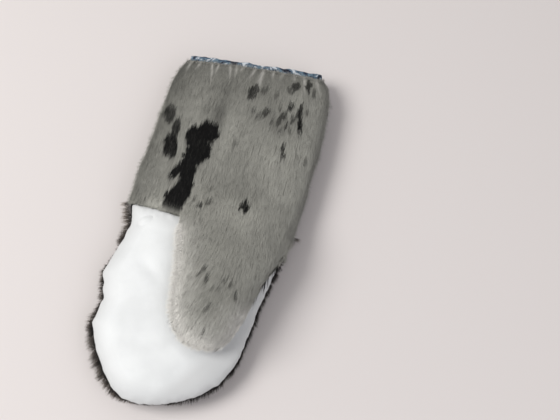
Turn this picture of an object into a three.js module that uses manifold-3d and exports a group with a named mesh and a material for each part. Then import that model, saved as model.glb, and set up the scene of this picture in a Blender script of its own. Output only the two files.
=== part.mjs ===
// A left-hand fur mitten that lies on its back, palm up, with its thumb folded flat over the palm.
// Millimetres. +Z is up, +Y runs from the fingertips to the mouth, and +X is the thumb side.
import * as THREE from 'three';
import { mergeVertices } from 'three/addons/utils/BufferGeometryUtils.js';
import Module from 'manifold-3d';

const wasm = await Module();
wasm.setup();

// The hand: its length, its side seam and the round of its fingertips
const TIP_Y = -159;             // hide at the fingertips
const MOUTH_Y = 157;            // fur's edge at the mouth
const MOUTH_SLANT = 0.065;      // the mouth runs up towards the thumb side
const MOUTH_DIP = 4.5;          // the upper lip ends this much short of the sides
const SLANT_FROM_Y = 60;
const SIDE_SEAM_Z = 17.8;       // height of the seam between back and palm
const BACK_DEPTH = 14.6;        // from the side seam down to the hide of the back
const TIP_ROUND = 45;           // length over which the outline closes at the fingertips
const TIP_ROUND_Z = 26;         // and over which the thickness closes
const PALM_POWER = 2.3;         // fullness of the palm's section, 2 is an ellipse
const PALM_WITHIN = 0.995;      // share of the half width out to which the palm's height is taken
const BACK_POWER = 3;           // the back is flatter, because it carries the weight

// Edges of the flattened hide, and how far the palm rises over the side seam
const HAND = [
  { y: -159, left: -58, right: 27, crown: 9.5 },
  { y: -142, left: -57, right: 42.5, crown: 10.5 },
  { y: -124, left: -60, right: 50, crown: 11.3 },
  { y: -103, left: -69, right: 56.5, crown: 12.2 },
  { y: -82, left: -66, right: 59, crown: 12.8 },
  { y: -60, left: -73.5, right: 61.5, crown: 13.2 },
  { y: -38, left: -68, right: 65.5, crown: 13.5 },
  { y: -14, left: -63, right: 69, crown: 13.8 },
  { y: 4, left: -67.5, right: 71, crown: 14.2 },
  { y: 32, left: -67.5, right: 73, crown: 14.5 },
  { y: 60, left: -66, right: 74, crown: 14.6 },
  { y: 88, left: -65, right: 75, crown: 14.5 },
  { y: 112, left: -64.5, right: 75, crown: 14 },
  { y: 132, left: -64, right: 74, crown: 13.3 },
  { y: 148, left: -62, right: 71.5, crown: 12.4 },
  { y: 157, left: -59.5, right: 66, crown: 11.8 },
];

// The thumb: edges of its hide, and its thickness over the palm
const THUMB_TIP_Y = -105.5;
const THUMB_TIP_ROUND = 24;
const THUMB_CLEARANCE = 0.8;    // between the leather of thumb and palm
const THUMB_SEAM_SHARE = 0.42;  // the thumb's side seam, as a share of its thickness
const THUMB_DRAPE = 0.8;        // how far it bends round the crown of the palm
const THUMB = [
  { y: -106, left: 3, right: 46.5, thick: 16.5 },
  { y: -85, left: -0.5, right: 49, thick: 18 },
  { y: -66, left: -4.5, right: 52.5, thick: 19 },
  { y: -45, left: -8, right: 57.5, thick: 19.5 },
  { y: -20, left: -14.5, right: 65, thick: 19.5 },
  { y: 2, left: -18.5, right: 69.5, thick: 19.5 },
  { y: 24, left: -19, right: 69, thick: 19.5 },
  { y: 56, left: -13, right: 62, thick: 19.5 },
];

// The seam between the cuff's fur and the palm's leather crosses the mitten at a slant
const CROSS_SEAM_Y = -4;        // at x = 0
const CROSS_SEAM_SLOPE = -0.12;
const PLUNGE_BEFORE = 13;       // the thumb's underside starts to dive this far before the seam
const PLUNGE_AT_SEAM = 8.5;
const PLUNGE_MOST = 11;
const CROWN_BLEND = [-25, 56];  // the thumb's outer face sinks into the cuff between these
const CROWN_SINK = 21.5;
const THUMB_SLANTS = [-60, -10]; // its sections turn to follow the cross seam between these
const THUMB_SEAM_TO = 6;        // its side seam ends this far beyond the cross seam

// Wall layers, as depths below the outer face of the hide
const HIDE = 1.6;
const SEAM_GAP = 0.3;
const LINING_OUTSIDE = 2;
const LINING_INSIDE = 3.1;
const HEM_INSIDE = 4.1;
const HEM_PROUD = 4.5;          // the lining's edge stands out of the fur by this much
const HEM_FROM = MOUTH_Y - 3;   // and is tucked in behind the fur from here
const PAST_MOUTH = 25;          // cutting bodies run this far out of the mouth

// Fur: how far the lying hair stands over the hide
const PILE = 4.2;
const PILE_HEM = 1.6;
const PILE_SINKS_OVER = 16;     // the hair is pressed down towards the hem over this length
const PILE_BACK = 3.6;          // the hair of the back, pressed flat where the mitten lies on it

// Fringe: locks of the back's fur round the palm, longer on the little finger's side
const LOCK_LENGTH = 3.2;
const LOCK_LENGTH_THUMB = 1.4;
const LOCK_SHORTENS = [0.35, 0.6]; // as shares of the way round the fingertips
const LOCK_VARIES = 0.25;       // the shortest lock is this share shorter
const LOCK_TURN = 2.4;          // step of the variation, so that neighbours differ
const LOCK_PITCH = 9;
const LOCK_HALF_WIDTH = 0.55 * LOCK_PITCH;
const LOCK_ROOTED = 2.5;        // how deep a lock starts inside the fur
const LOCK_ABOVE_SEAM = 1;
const LOCK_DEEP = 8;
const LOCK_POINT_SHARE = 0.45;  // height of its point, as a share of its depth below the seam
const LOCK_SWEEP = 0.45;        // the locks lean towards the fingertips

// The medallion sewn to the back of the hand, which faces down
const MEDALLION = { x: -6, y: -62, long: 57.5, wide: 38, turn: THREE.MathUtils.degToRad(8) };
const BEAD_RADIUS = 1.1;
const BEAD_BOTTOM = 0.2;
const BEAD_CLEARANCE = 0.5;     // between the beads and the fur round them
const FELT_BOTTOM = 1.1;
const FELT_THICK = 1.2;
const APPLIQUE_BOTTOM = 0.2;
const APPLIQUE_THICK = 0.6;
const PETALS = 6;
const PETAL = { turn: 30, from: 10, to: 27.5, halfAngle: 0.48, roundness: 5 };
const HEART = { long: 8.4, wide: 6.2 };
const LEAVES = [
  { turn: 118, from: 29, length: 19, wide: 8.5 },
  { turn: 88, from: 29.5, length: 22, wide: 9 },
  { turn: 58, from: 29, length: 17, wide: 8 },
  { turn: -74, from: 29, length: 18, wide: 8.5 },
  { turn: -112, from: 29, length: 19, wide: 8.5 },
];
const LEAF_NEAR = { along: 0.15, aside: 0.55 }; // bulge of a leaf's edge near its root
const LEAF_FAR = { along: 0.6, aside: 0.66 };   // and towards its point

// Fineness of the faceted solids
const SIDES = 32;
const LINING_SIDES = 16;
const TIP_RINGS = 5;
const THUMB_SIDES = 20;
const THUMB_RINGS = [-66, -45, -27, -17, -9, -1, 8, 20, 36, 56];  // closest together at the crotch
const THUMB_TIP_RINGS = 4;
const LEAST_RING_STEP = 3;
const RIM_STEPS = 60;
const OVAL_SIDES = 40;
const BEAD_RING_STEPS = 44;
const BEAD_RING_SIDES = 6;
const LEAF_SEGMENTS = 7;
const PETAL_STEPS = 8;
const FLAT = [1, 1];            // steps of a flat cutting slab
const SEAM_STEPS = [15, 24];    // and of the one that follows the thumb's side seam
const REACH = 250;              // of the cutting slabs, well past the mitten

const material = (color, roughness) => new THREE.MeshStandardMaterial({ color, roughness, metalness: 0 });
const darkFur = material('#1b1a1b', 0.7);
const greyFur = material('#84827c', 0.75);
const whiteLeather = material('#eef0ef', 0.6);
const printedCotton = material('#3d5c8c', 0.85);
const whiteFelt = material('#e6e2d8', 0.95);
const blueFloss = material('#2f5a9e', 0.6);
const navyFloss = material('#1d235c', 0.55);
const greenFloss = material('#4f7f2c', 0.6);
const navyBeads = material('#232a8a', 0.25);

const clamp = THREE.MathUtils.clamp;
const smooth = THREE.MathUtils.smoothstep;
const beyondCrossSeam = (x, y) => y - CROSS_SEAM_Y - CROSS_SEAM_SLOPE * x;

// Value of a table's column at y, on a smooth curve through its rows
function at(table, column, y) {
  const last = table.length - 1;
  const row = (k) => table[clamp(k, 0, last)];
  const slope = (k) => (row(k + 1)[column] - row(k - 1)[column]) / (row(k + 1).y - row(k - 1).y);
  let i = 0;
  while (i < last - 1 && y > table[i + 1].y) i += 1;
  const span = row(i + 1).y - row(i).y;
  const s = clamp((y - row(i).y) / span, 0, 1);
  const fromStart = (1 + 2 * s) * (1 - s) ** 2 * row(i)[column] + s * (1 - s) ** 2 * span * slope(i);
  const fromEnd = s * s * (3 - 2 * s) * row(i + 1)[column] + s * s * (s - 1) * span * slope(i + 1);
  return fromStart + fromEnd;
}

const soft = (value, power) => Math.sign(value) * Math.abs(value) ** (2 / power);
const closing = (share) => Math.sqrt(1 - (1 - clamp(share, 0, 1)) ** 2);
const level = (d) => () => d;

// Section of the hand at y, at a depth below the hide
function handSection(y, d, tipY) {
  const left = at(HAND, 'left', y) + d;
  const right = at(HAND, 'right', y) - d;
  const rise = closing((y - tipY) / TIP_ROUND_Z);
  return {
    middle: (left + right) / 2,
    half: ((right - left) / 2) * closing((y - tipY) / TIP_ROUND),
    up: (at(HAND, 'crown', y) - d) * rise,
    down: (BACK_DEPTH - d) * rise,
  };
}

function handPoint(y, angle, depth, tipY) {
  const d = depth(y);
  const section = handSection(y, d, tipY);
  const above = Math.sin(angle) > 0;
  const power = above ? PALM_POWER : BACK_POWER;
  const x = section.middle + section.half * soft(Math.cos(angle), power);
  const z = SIDE_SEAM_Z + (above ? section.up : section.down) * soft(Math.sin(angle), power);
  const nearMouth = smooth(y, SLANT_FROM_Y, MOUTH_Y);
  const dip = MOUTH_DIP * soft(Math.max(Math.sin(angle), 0), power);
  return new THREE.Vector3(x, y + nearMouth * (MOUTH_SLANT * x - dip), Math.max(z, 0));
}

// Height of the palm's hide, with the crown flattened for what is draped over it
function palmTop(x, y, drape) {
  const section = handSection(y, 0, TIP_Y);
  const across = clamp(Math.abs((x - section.middle) / section.half) * drape, 0, PALM_WITHIN);
  return SIDE_SEAM_Z + section.up * (1 - across ** PALM_POWER) ** (1 / PALM_POWER);
}

// Heights of the thumb's underside, side seam and outer face over one point of the palm
function thumbHeights(x, y) {
  const t = beyondCrossSeam(x, y);
  const dive = clamp((t + PLUNGE_BEFORE) / PLUNGE_BEFORE, 0, 2);
  const plunge = Math.min(PLUNGE_AT_SEAM * dive * dive, PLUNGE_MOST);
  const bed = palmTop(x, y, THUMB_DRAPE) + THUMB_CLEARANCE;
  const under = bed - plunge;
  const over = bed + at(THUMB, 'thick', y) - CROWN_SINK * smooth(t, CROWN_BLEND[0], CROWN_BLEND[1]);
  return { under, over, seam: under + (over - under) * THUMB_SEAM_SHARE };
}

function thumbPoint(y, angle, d, tipY) {
  const left = at(THUMB, 'left', y) + d;
  const right = at(THUMB, 'right', y) - d;
  const round = closing((y - tipY) / THUMB_TIP_ROUND);
  const x = (left + right) / 2 + ((right - left) / 2) * round * soft(Math.cos(angle), PALM_POWER);
  const slantedY = y + CROSS_SEAM_SLOPE * (x - (left + right) / 2) * smooth(y, ...THUMB_SLANTS);
  const { under, over, seam } = thumbHeights(x, slantedY);
  const rise = Math.sin(angle) > 0 ? over - d - seam : seam - under - d;
  return new THREE.Vector3(x, slantedY, seam + rise * round * soft(Math.sin(angle), PALM_POWER));
}

// Closed body through rings of points, each end closed by a fan round its own centre
function loft(rings, startCentre, endCentre) {
  const sides = rings[0].length;
  const points = [...rings.flat(), startCentre, endCentre];
  const start = points.length - 2;
  const end = points.length - 1;
  const faces = [];
  for (let j = 0; j < sides; j += 1) {
    const k = (j + 1) % sides;
    for (let i = 0; i < rings.length - 1; i += 1) {
      const here = i * sides;
      const next = here + sides;
      faces.push(here + j, next + j, next + k, here + j, next + k, here + k);
    }
    const lastRing = (rings.length - 1) * sides;
    faces.push(start, j, k, end, lastRing + k, lastRing + j);
  }
  const geometry = new THREE.BufferGeometry().setFromPoints(points);
  geometry.setIndex(faces);
  return geometry;
}

const centreOf = (ring) => ring.reduce((sum, p) => sum.add(p), new THREE.Vector3()).divideScalar(ring.length);
const turnOf = (j, sides) => (2 * Math.PI * j) / sides;

function handRing(y, depth, tipY, sides) {
  return Array.from({ length: sides }, (_, j) => handPoint(y, turnOf(j, sides), depth, tipY));
}

// The hand as a closed bag whose wall lies at the given depth
function hand(depth, endY, sides = SIDES) {
  const tipY = TIP_Y + depth(TIP_Y);
  const stations = [];
  for (let i = 1; i <= TIP_RINGS; i += 1) {
    const share = 1 - Math.cos((i / TIP_RINGS) * (Math.PI / 2));
    stations.push(tipY + TIP_ROUND * share);
  }
  const sections = HAND.map((row) => row.y).concat(HEM_FROM).sort((a, b) => a - b);
  stations.push(...sections.filter((y) => y > stations.at(-1) + LEAST_RING_STEP && y < endY), endY);
  const rings = stations.map((y) => handRing(y, depth, tipY, sides));
  const tip = centreOf(rings[0]).setY(tipY);
  return toSolid(loft(rings, tip, centreOf(rings.at(-1))));
}

// A short length of the hand's tube, for the hem of the lining
function handBand(depth, stations) {
  const rings = stations.map((y) => handRing(y, depth, TIP_Y, SIDES));
  return toSolid(loft(rings, centreOf(rings[0]), centreOf(rings.at(-1))));
}

function thumb(d) {
  const tipY = THUMB_TIP_Y + d;
  const point = (y, j) => thumbPoint(y, turnOf(j, THUMB_SIDES), d, tipY);
  const ring = (y) => Array.from({ length: THUMB_SIDES }, (_, j) => point(y, j));
  const rings = [];
  for (let i = 1; i <= THUMB_TIP_RINGS; i += 1) {
    const share = 1 - Math.cos((i / THUMB_TIP_RINGS) * (Math.PI / 2));
    rings.push(ring(tipY + THUMB_TIP_ROUND * share));
  }
  rings.push(...THUMB_RINGS.map(ring));
  const tip = centreOf(rings[0]).setY(tipY);
  return toSolid(loft(rings, tip, centreOf(rings.at(-1))));
}

function toSolid(geometry) {
  const bare = geometry.index ? geometry.clone() : geometry;
  bare.deleteAttribute('normal');
  bare.deleteAttribute('uv');
  const merged = mergeVertices(bare, 1e-4);
  const vertProperties = new Float32Array(merged.attributes.position.array);
  const triVerts = new Uint32Array(merged.index.array);
  return new wasm.Manifold(new wasm.Mesh({ numProp: 3, vertProperties, triVerts }));
}

function toGeometry(solid) {
  const { vertProperties, triVerts } = solid.getMesh();
  const geometry = new THREE.BufferGeometry();
  geometry.setAttribute('position', new THREE.BufferAttribute(vertProperties, 3));
  geometry.setIndex(new THREE.BufferAttribute(triVerts, 1));
  geometry.computeVertexNormals();
  return geometry;
}

// A cutting slab, laid along the cross seam: t is the distance beyond that seam
function slab(tRange, steps, bottom, top) {
  const width = 2 * REACH;
  const length = tRange[1] - tRange[0];
  const geometry = new THREE.BoxGeometry(width, length, 2, steps[0], steps[1], 1);
  const position = geometry.attributes.position;
  for (let i = 0; i < position.count; i += 1) {
    const x = position.getX(i);
    const t = position.getY(i) + (tRange[0] + tRange[1]) / 2;
    const y = t + CROSS_SEAM_Y + CROSS_SEAM_SLOPE * x;
    const face = position.getZ(i) > 0 ? top : bottom;
    position.setXYZ(i, x, y, face(x, y));
  }
  return toSolid(geometry);
}

// Locks of the back's fur that stick out round the palm, from the cross seam round the fingertips
function fringeLocks() {
  const rim = [];
  const tipY = TIP_Y - PILE_BACK;
  const edge = level(-PILE_BACK);
  for (const side of [Math.PI, 0]) {
    const run = [];
    for (let i = 0; i <= RIM_STEPS; i += 1) {
      const share = 1 - Math.cos((i / RIM_STEPS) * (Math.PI / 2));
      run.push(handPoint(THREE.MathUtils.lerp(tipY, 0, share), side, edge, tipY));
    }
    rim.push(...(side === 0 ? run.slice(1) : run.reverse()));
  }
  const curve = new THREE.CatmullRomCurve3(rim);
  const count = Math.round(curve.getLength() / LOCK_PITCH);
  const locks = [];
  for (let i = 0; i < count; i += 1) {
    const share = (i + 0.5) / count;
    const root = curve.getPointAt(share);
    const along = curve.getTangentAt(share);
    const out = new THREE.Vector3(along.y, -along.x, 0).normalize();
    const sweep = new THREE.Vector3(0, -LOCK_SWEEP, 0);
    const longest = THREE.MathUtils.lerp(LOCK_LENGTH, LOCK_LENGTH_THUMB, smooth(share, ...LOCK_SHORTENS));
    const reach = longest * (1 - LOCK_VARIES * (1 - Math.sin(i * LOCK_TURN)));
    locks.push(lock(root, along, out.add(sweep).normalize(), reach));
  }
  return wasm.Manifold.union(locks);
}

function lock(root, along, out, reach) {
  const inner = root.clone().addScaledVector(out, -LOCK_ROOTED);
  const top = inner.clone().setZ(SIDE_SEAM_Z + LOCK_ABOVE_SEAM);
  const low = inner.clone().setZ(SIDE_SEAM_Z - LOCK_DEEP);
  const base = [
    top.clone().addScaledVector(along, -LOCK_HALF_WIDTH),
    low.clone().addScaledVector(along, -LOCK_HALF_WIDTH),
    low.clone().addScaledVector(along, LOCK_HALF_WIDTH),
    top.clone().addScaledVector(along, LOCK_HALF_WIDTH),
  ];
  const point = root.clone().addScaledVector(out, reach).setZ(SIDE_SEAM_Z - LOCK_DEEP * LOCK_POINT_SHARE);
  const solid = toSolid(loft([base], point, centreOf(base)));
  return solid.volume() > 0 ? solid : toSolid(loft([base.reverse()], point, centreOf(base)));
}

// A flat shape turned to face down under the felt
function onMedallion(geometry, z) {
  geometry.rotateZ(MEDALLION.turn);
  geometry.translate(MEDALLION.x, MEDALLION.y, z);
  return geometry;
}

function ovalPlate(long, wide, thick, z) {
  const plate = new THREE.CylinderGeometry(1, 1, thick, OVAL_SIDES);
  plate.rotateX(Math.PI / 2);
  plate.scale(wide, long, 1);
  return onMedallion(plate, z + thick / 2);
}

function beadRing() {
  const points = [];
  for (let i = 0; i < BEAD_RING_STEPS; i += 1) {
    const a = turnOf(i, BEAD_RING_STEPS);
    const centre = new THREE.Vector2(MEDALLION.wide * Math.cos(a), MEDALLION.long * Math.sin(a));
    const out = new THREE.Vector2(MEDALLION.long * Math.cos(a), MEDALLION.wide * Math.sin(a)).normalize();
    for (let j = 0; j < BEAD_RING_SIDES; j += 1) {
      const b = turnOf(j, BEAD_RING_SIDES);
      const flat = centre.clone().addScaledVector(out, BEAD_RADIUS * Math.cos(b));
      points.push(new THREE.Vector3(flat.x, flat.y, BEAD_RADIUS * Math.sin(b)));
    }
  }
  const faces = [];
  for (let i = 0; i < BEAD_RING_STEPS; i += 1) {
    for (let j = 0; j < BEAD_RING_SIDES; j += 1) {
      const here = i * BEAD_RING_SIDES;
      const next = ((i + 1) % BEAD_RING_STEPS) * BEAD_RING_SIDES;
      const k = (j + 1) % BEAD_RING_SIDES;
      faces.push(here + j, next + j, next + k, here + j, next + k, here + k);
    }
  }
  const geometry = new THREE.BufferGeometry().setFromPoints(points);
  geometry.setIndex(faces);
  return onMedallion(geometry, BEAD_BOTTOM + BEAD_RADIUS);
}

function applique(shape, turn) {
  const options = { depth: APPLIQUE_THICK, bevelEnabled: false, curveSegments: LEAF_SEGMENTS };
  const geometry = new THREE.ExtrudeGeometry(shape, options);
  geometry.rotateZ(THREE.MathUtils.degToRad(turn));
  return onMedallion(geometry, APPLIQUE_BOTTOM);
}

// A leaf starts and ends in a point, at a distance from the flower's centre
function leafShape({ from, length, wide }) {
  const near = new THREE.Vector2(from + length * LEAF_NEAR.along, wide * LEAF_NEAR.aside);
  const far = new THREE.Vector2(from + length * LEAF_FAR.along, wide * LEAF_FAR.aside);
  const shape = new THREE.Shape();
  shape.moveTo(from, 0);
  shape.bezierCurveTo(near.x, -near.y, far.x, -far.y, from + length, 0);
  shape.bezierCurveTo(far.x, far.y, near.x, near.y, from, 0);
  return shape;
}

// A petal is a wedge of the flower with a round outer end
function petalShape() {
  const edge = [];
  for (let i = 0; i <= PETAL_STEPS; i += 1) {
    const share = Math.sin((i / PETAL_STEPS) * (Math.PI / 2));
    const radius = THREE.MathUtils.lerp(PETAL.from, PETAL.to, share);
    const angle = PETAL.halfAngle * Math.sqrt(1 - share ** PETAL.roundness);
    edge.push(new THREE.Vector2(radius * Math.cos(angle), radius * Math.sin(angle)));
  }
  const mirrored = edge.slice(0, -1).reverse().map((p) => new THREE.Vector2(p.x, -p.y));
  return new THREE.Shape([...edge, ...mirrored]);
}

const mitten = new THREE.Group();

function add(name, geometry, look) {
  const mesh = new THREE.Mesh(geometry, look);
  mesh.name = name;
  mitten.add(mesh);
}

// Walls
const bag = (d, endY, sides) => hand(level(d), endY, sides).add(thumb(d));
const risen = (y) => smooth(MOUTH_Y - y, 0, PILE_SINKS_OVER);
const pile = (y) => THREE.MathUtils.lerp(PILE_HEM, PILE, risen(y));
const backPile = (y) => THREE.MathUtils.lerp(PILE_HEM, PILE_BACK, risen(y));
const insideHide = bag(HIDE, MOUTH_Y + PAST_MOUTH);

// The seams, each half a gap from its own middle
const half = SEAM_GAP / 2;
const floor = () => -REACH;
const roof = () => REACH;
const overSideSeam = () => SIDE_SEAM_Z + half;
const underSideSeam = () => SIDE_SEAM_Z - half;
const backSide = slab([-REACH, REACH], FLAT, floor, underSideSeam);
const cuffSide = slab([half, REACH], FLAT, overSideSeam, roof);
const thumbSeamAt = (gap) => (x, y) => thumbHeights(x, y).seam + gap;
const overThumbSeam = (gap) => slab([-REACH, THUMB_SEAM_TO], SEAM_STEPS, thumbSeamAt(gap), roof);
const palmSide = slab([-REACH, -half], FLAT, overSideSeam, roof).subtract(overThumbSeam(-half));

// The medallion lies in the back's fur, flush with it
const around = BEAD_RADIUS + BEAD_CLEARANCE;
const recessTop = BEAD_BOTTOM + 2 * BEAD_RADIUS + SEAM_GAP;
const recessOval = [MEDALLION.long + around, MEDALLION.wide + around];
const recess = toSolid(ovalPlate(...recessOval, 2 * recessTop, -recessTop));

const backFur = hand((y) => -backPile(y), MOUTH_Y)
  .add(fringeLocks())
  .subtract(insideHide)
  .intersect(backSide)
  .subtract(recess);
const palmFur = hand((y) => -pile(y), MOUTH_Y)
  .add(thumb(-PILE))
  .subtract(insideHide)
  .intersect(cuffSide.add(overThumbSeam(half)));
const palmLeather = bag(0, MOUTH_Y).subtract(insideHide).intersect(palmSide);

add('back_fur', toGeometry(backFur), darkFur);
add('palm_fur', toGeometry(palmFur), greyFur);
add('palm_leather', toGeometry(palmLeather), whiteLeather);

// Lining and its hem
const liningEnd = HEM_FROM - SEAM_GAP;
const lining = bag(LINING_OUTSIDE, liningEnd, LINING_SIDES)
  .subtract(bag(LINING_INSIDE, MOUTH_Y + PAST_MOUTH, LINING_SIDES));
const hemEnd = MOUTH_Y + HEM_PROUD;
const hem = handBand(level(LINING_OUTSIDE), [HEM_FROM, MOUTH_Y, hemEnd])
  .subtract(handBand(level(HEM_INSIDE), [HEM_FROM - PAST_MOUTH, HEM_FROM, MOUTH_Y, hemEnd + PAST_MOUTH]));
add('lining', toGeometry(lining), printedCotton);
add('lining_hem', toGeometry(hem), printedCotton);

// Medallion
const feltLong = MEDALLION.long - BEAD_RADIUS - SEAM_GAP;
const feltWide = MEDALLION.wide - BEAD_RADIUS - SEAM_GAP;
add('medallion_felt', ovalPlate(feltLong, feltWide, FELT_THICK, FELT_BOTTOM), whiteFelt);
add('bead_edging', beadRing(), navyBeads);
add('flower_heart', ovalPlate(HEART.long, HEART.wide, APPLIQUE_THICK, APPLIQUE_BOTTOM), navyFloss);
for (let i = 0; i < PETALS; i += 1) {
  add(`petal_${i + 1}`, applique(petalShape(), PETAL.turn + (360 / PETALS) * i), blueFloss);
}
LEAVES.forEach((leaf, i) => add(`leaf_${i + 1}`, applique(leafShape(leaf), leaf.turn), greenFloss));

// The origin is at the middle of the whole mitten's box, on the surface it lies on
const box = new THREE.Box3().setFromObject(mitten);
const middle = box.getCenter(new THREE.Vector3());
mitten.position.set(-middle.x, -middle.y, -box.min.z);

export default mitten;
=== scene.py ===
# %% [markdown]
# # A sealskin mitten, step by step
# The real mitten is sewn from four materials. The back is dark sealskin, the cuff and the top of the
# thumb are grey spotted sealskin, the palm is white leather, and the lining is printed cotton. A felt
# oval with a stitched flower and a beaded edge sits on the back, which faces down here.
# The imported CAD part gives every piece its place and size, as plain solids. This script copies them,
# makes soft hides of them, and adds what is too fine for solids: hair, creases, stitches and beads.

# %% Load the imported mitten
import math

import bmesh
import bpy
import numpy as np
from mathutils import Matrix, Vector
from mathutils.bvhtree import BVHTree
from mathutils.kdtree import KDTree


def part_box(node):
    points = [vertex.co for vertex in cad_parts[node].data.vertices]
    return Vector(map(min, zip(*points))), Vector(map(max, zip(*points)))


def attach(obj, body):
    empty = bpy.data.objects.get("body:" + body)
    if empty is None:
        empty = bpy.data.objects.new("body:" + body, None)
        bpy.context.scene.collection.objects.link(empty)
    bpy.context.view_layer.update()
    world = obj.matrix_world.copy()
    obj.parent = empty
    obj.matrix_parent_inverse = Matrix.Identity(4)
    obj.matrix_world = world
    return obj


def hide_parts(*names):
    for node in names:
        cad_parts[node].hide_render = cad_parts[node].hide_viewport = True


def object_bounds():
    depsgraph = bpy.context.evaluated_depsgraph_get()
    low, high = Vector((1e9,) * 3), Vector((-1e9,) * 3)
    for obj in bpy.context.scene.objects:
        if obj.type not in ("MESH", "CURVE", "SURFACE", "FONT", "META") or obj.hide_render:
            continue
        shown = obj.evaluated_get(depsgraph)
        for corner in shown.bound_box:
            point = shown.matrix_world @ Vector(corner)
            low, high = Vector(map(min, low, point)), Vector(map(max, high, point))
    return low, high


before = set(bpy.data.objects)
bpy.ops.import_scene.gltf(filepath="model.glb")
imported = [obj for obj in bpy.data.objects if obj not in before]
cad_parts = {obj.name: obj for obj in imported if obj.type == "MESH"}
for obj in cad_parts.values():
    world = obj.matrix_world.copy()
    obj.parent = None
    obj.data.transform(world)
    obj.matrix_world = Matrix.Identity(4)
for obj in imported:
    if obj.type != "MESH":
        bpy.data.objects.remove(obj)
cad_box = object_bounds()
MM = 0.001  # the frame is in metres, and a maker thinks in millimetres
size_mm = [round((high - low) / MM, 1) for low, high in zip(*cad_box)]
print("CAD nodes:", len(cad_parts), "overall size in mm:", size_mm)

# %% [markdown]
# ## Camera
# The photograph looks steeply down on the mitten from a little to its thumb side. A lens at 0.8 m keeps
# the slight perspective of a hand-held picture. The camera is aimed at a point on the table, so its
# place follows from two angles and a distance, and no number has to be found by trial.

# %% Place the camera
AZIMUTH = math.radians(13.5)
ELEVATION = math.radians(68)
DISTANCE = 0.8
AIM = Vector((0.0561, 0.0350, 0.0))  # the point of the table in the middle of the picture
FIELD = math.radians(34.2)  # across the picture's width


def add_object(name, data):
    """Puts a camera, a lamp or a mesh into the scene as an object."""
    thing = bpy.data.objects.new(name, data)
    bpy.context.scene.collection.objects.link(thing)
    return thing


away = Vector((
    math.sin(AZIMUTH) * math.cos(ELEVATION),
    -math.cos(AZIMUTH) * math.cos(ELEVATION),
    math.sin(ELEVATION),
))
lens = bpy.data.cameras.new("camera")
lens.angle = FIELD
lens.clip_start = 0.01
camera = add_object("camera", lens)
camera.location = AIM + away * DISTANCE
camera.rotation_mode = "QUATERNION"
camera.rotation_quaternion = (-away).to_track_quat("-Z", "Y")
bpy.context.scene.camera = camera
print("camera height above the table, mm:", round(camera.location.z / MM))

# %% [markdown]
# ## Helpers for materials
# A material is a small tree of nodes. One helper adds a node, sets its options and fills or links its
# inputs, so that each recipe below reads like a list. Colours are written as they look on a screen,
# and one function turns them into the linear values that the renderer works with.

# %% Colour and node helpers
def linear(hex_colour):
    """An sRGB colour such as '#f0ece4' as linear red, green, blue and alpha."""
    channels = [int(hex_colour[i:i + 2], 16) / 255 for i in (1, 3, 5)]
    return (*(c / 12.92 if c <= 0.04045 else ((c + 0.055) / 1.055) ** 2.4 for c in channels), 1.0)


def add_node(tree, kind, inputs=None, stops=None, **options):
    """Adds one node. Inputs go by name or number, and each is a value or another node's output.
    For a colour ramp, stops are (place, hex colour)."""
    node = tree.nodes.new(kind)
    for option, value in options.items():
        setattr(node, option, value)
    for key, value in (inputs or {}).items():
        if isinstance(value, bpy.types.NodeSocket):
            tree.links.new(value, node.inputs[key])
        else:
            node.inputs[key].default_value = value
    for i, (place, colour) in enumerate(stops or []):
        points = node.color_ramp.elements
        point = points[i] if i < len(points) else points.new(place)
        point.position = place
        point.color = linear(colour)
    return node


def new_material(name, recipe, **settings):
    """A material from a recipe, a function that adds nodes to the empty tree and gives back the shader."""
    material = bpy.data.materials.new(name)
    material.use_nodes = True
    tree = material.node_tree
    tree.nodes.clear()
    output = add_node(tree, "ShaderNodeOutputMaterial")
    tree.links.new(recipe(tree, **settings).outputs["BSDF"], output.inputs["Surface"])
    return material


# Inputs and output of the colour form of the Mix node, which it knows by number
FACTOR, FIRST, SECOND, RESULT = 0, 6, 7, 2

print("white leather #f4f4f2 in linear light:", [round(c, 3) for c in linear("#f4f4f2")])

# %% [markdown]
# ## Helpers for meshes
# Blender keeps a mesh's points, normals and stored numbers in long lists. Reading them one by one would
# be slow, so a whole list goes to or from numpy in one call. Places below are in mm, and change to
# metres only when they enter a mesh or a search tree. A number stored per point is how the shape tells
# its material where to be dark, pale or worn.

# %% Read and write meshes
def mesh_piece(name, points_mm, triangles):
    """One object from an array of points in mm and an array of triangles."""
    mesh = bpy.data.meshes.new(name)
    mesh.vertices.add(len(points_mm))
    mesh.vertices.foreach_set("co", (np.asarray(points_mm) * MM).astype(np.float32).ravel())
    mesh.loops.add(triangles.size)
    mesh.loops.foreach_set("vertex_index", triangles.astype(np.int32).ravel())
    mesh.polygons.add(len(triangles))
    mesh.polygons.foreach_set("loop_start", np.arange(0, triangles.size, 3, dtype=np.int32))
    mesh.update(calc_edges=True)
    mesh.shade_smooth()
    return add_object(name, mesh)


def read(items, what, columns, kind=np.float32):
    """One property of every item of a mesh list, as an array with a row to an item."""
    flat = np.empty(len(items) * columns, kind)
    items.foreach_get(what, flat)
    return flat.reshape(-1, columns)


def places_of(piece):
    """The points of a piece, in mm."""
    return read(piece.data.vertices, "co", 3).astype(float) / MM


def normals_of(piece):
    """The directions that the surface faces at a piece's points."""
    return read(piece.data.vertex_normals, "vector", 3).astype(float)


def move_points(piece, points_mm):
    """Puts the points of a piece at new places, in mm."""
    piece.data.vertices.foreach_set("co", (points_mm * MM).astype(np.float32).ravel())
    piece.data.update()


def set_values(piece, name, values):
    """Stores one number per point under a name that the materials read."""
    attribute = piece.data.attributes.new(name, "FLOAT", "POINT")
    attribute.data.foreach_set("value", np.asarray(values, np.float32).ravel())


def values_of(piece, name):
    """The numbers that were stored per point under a name."""
    return read(piece.data.attributes[name].data, "value", 1)[:, 0]


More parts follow.
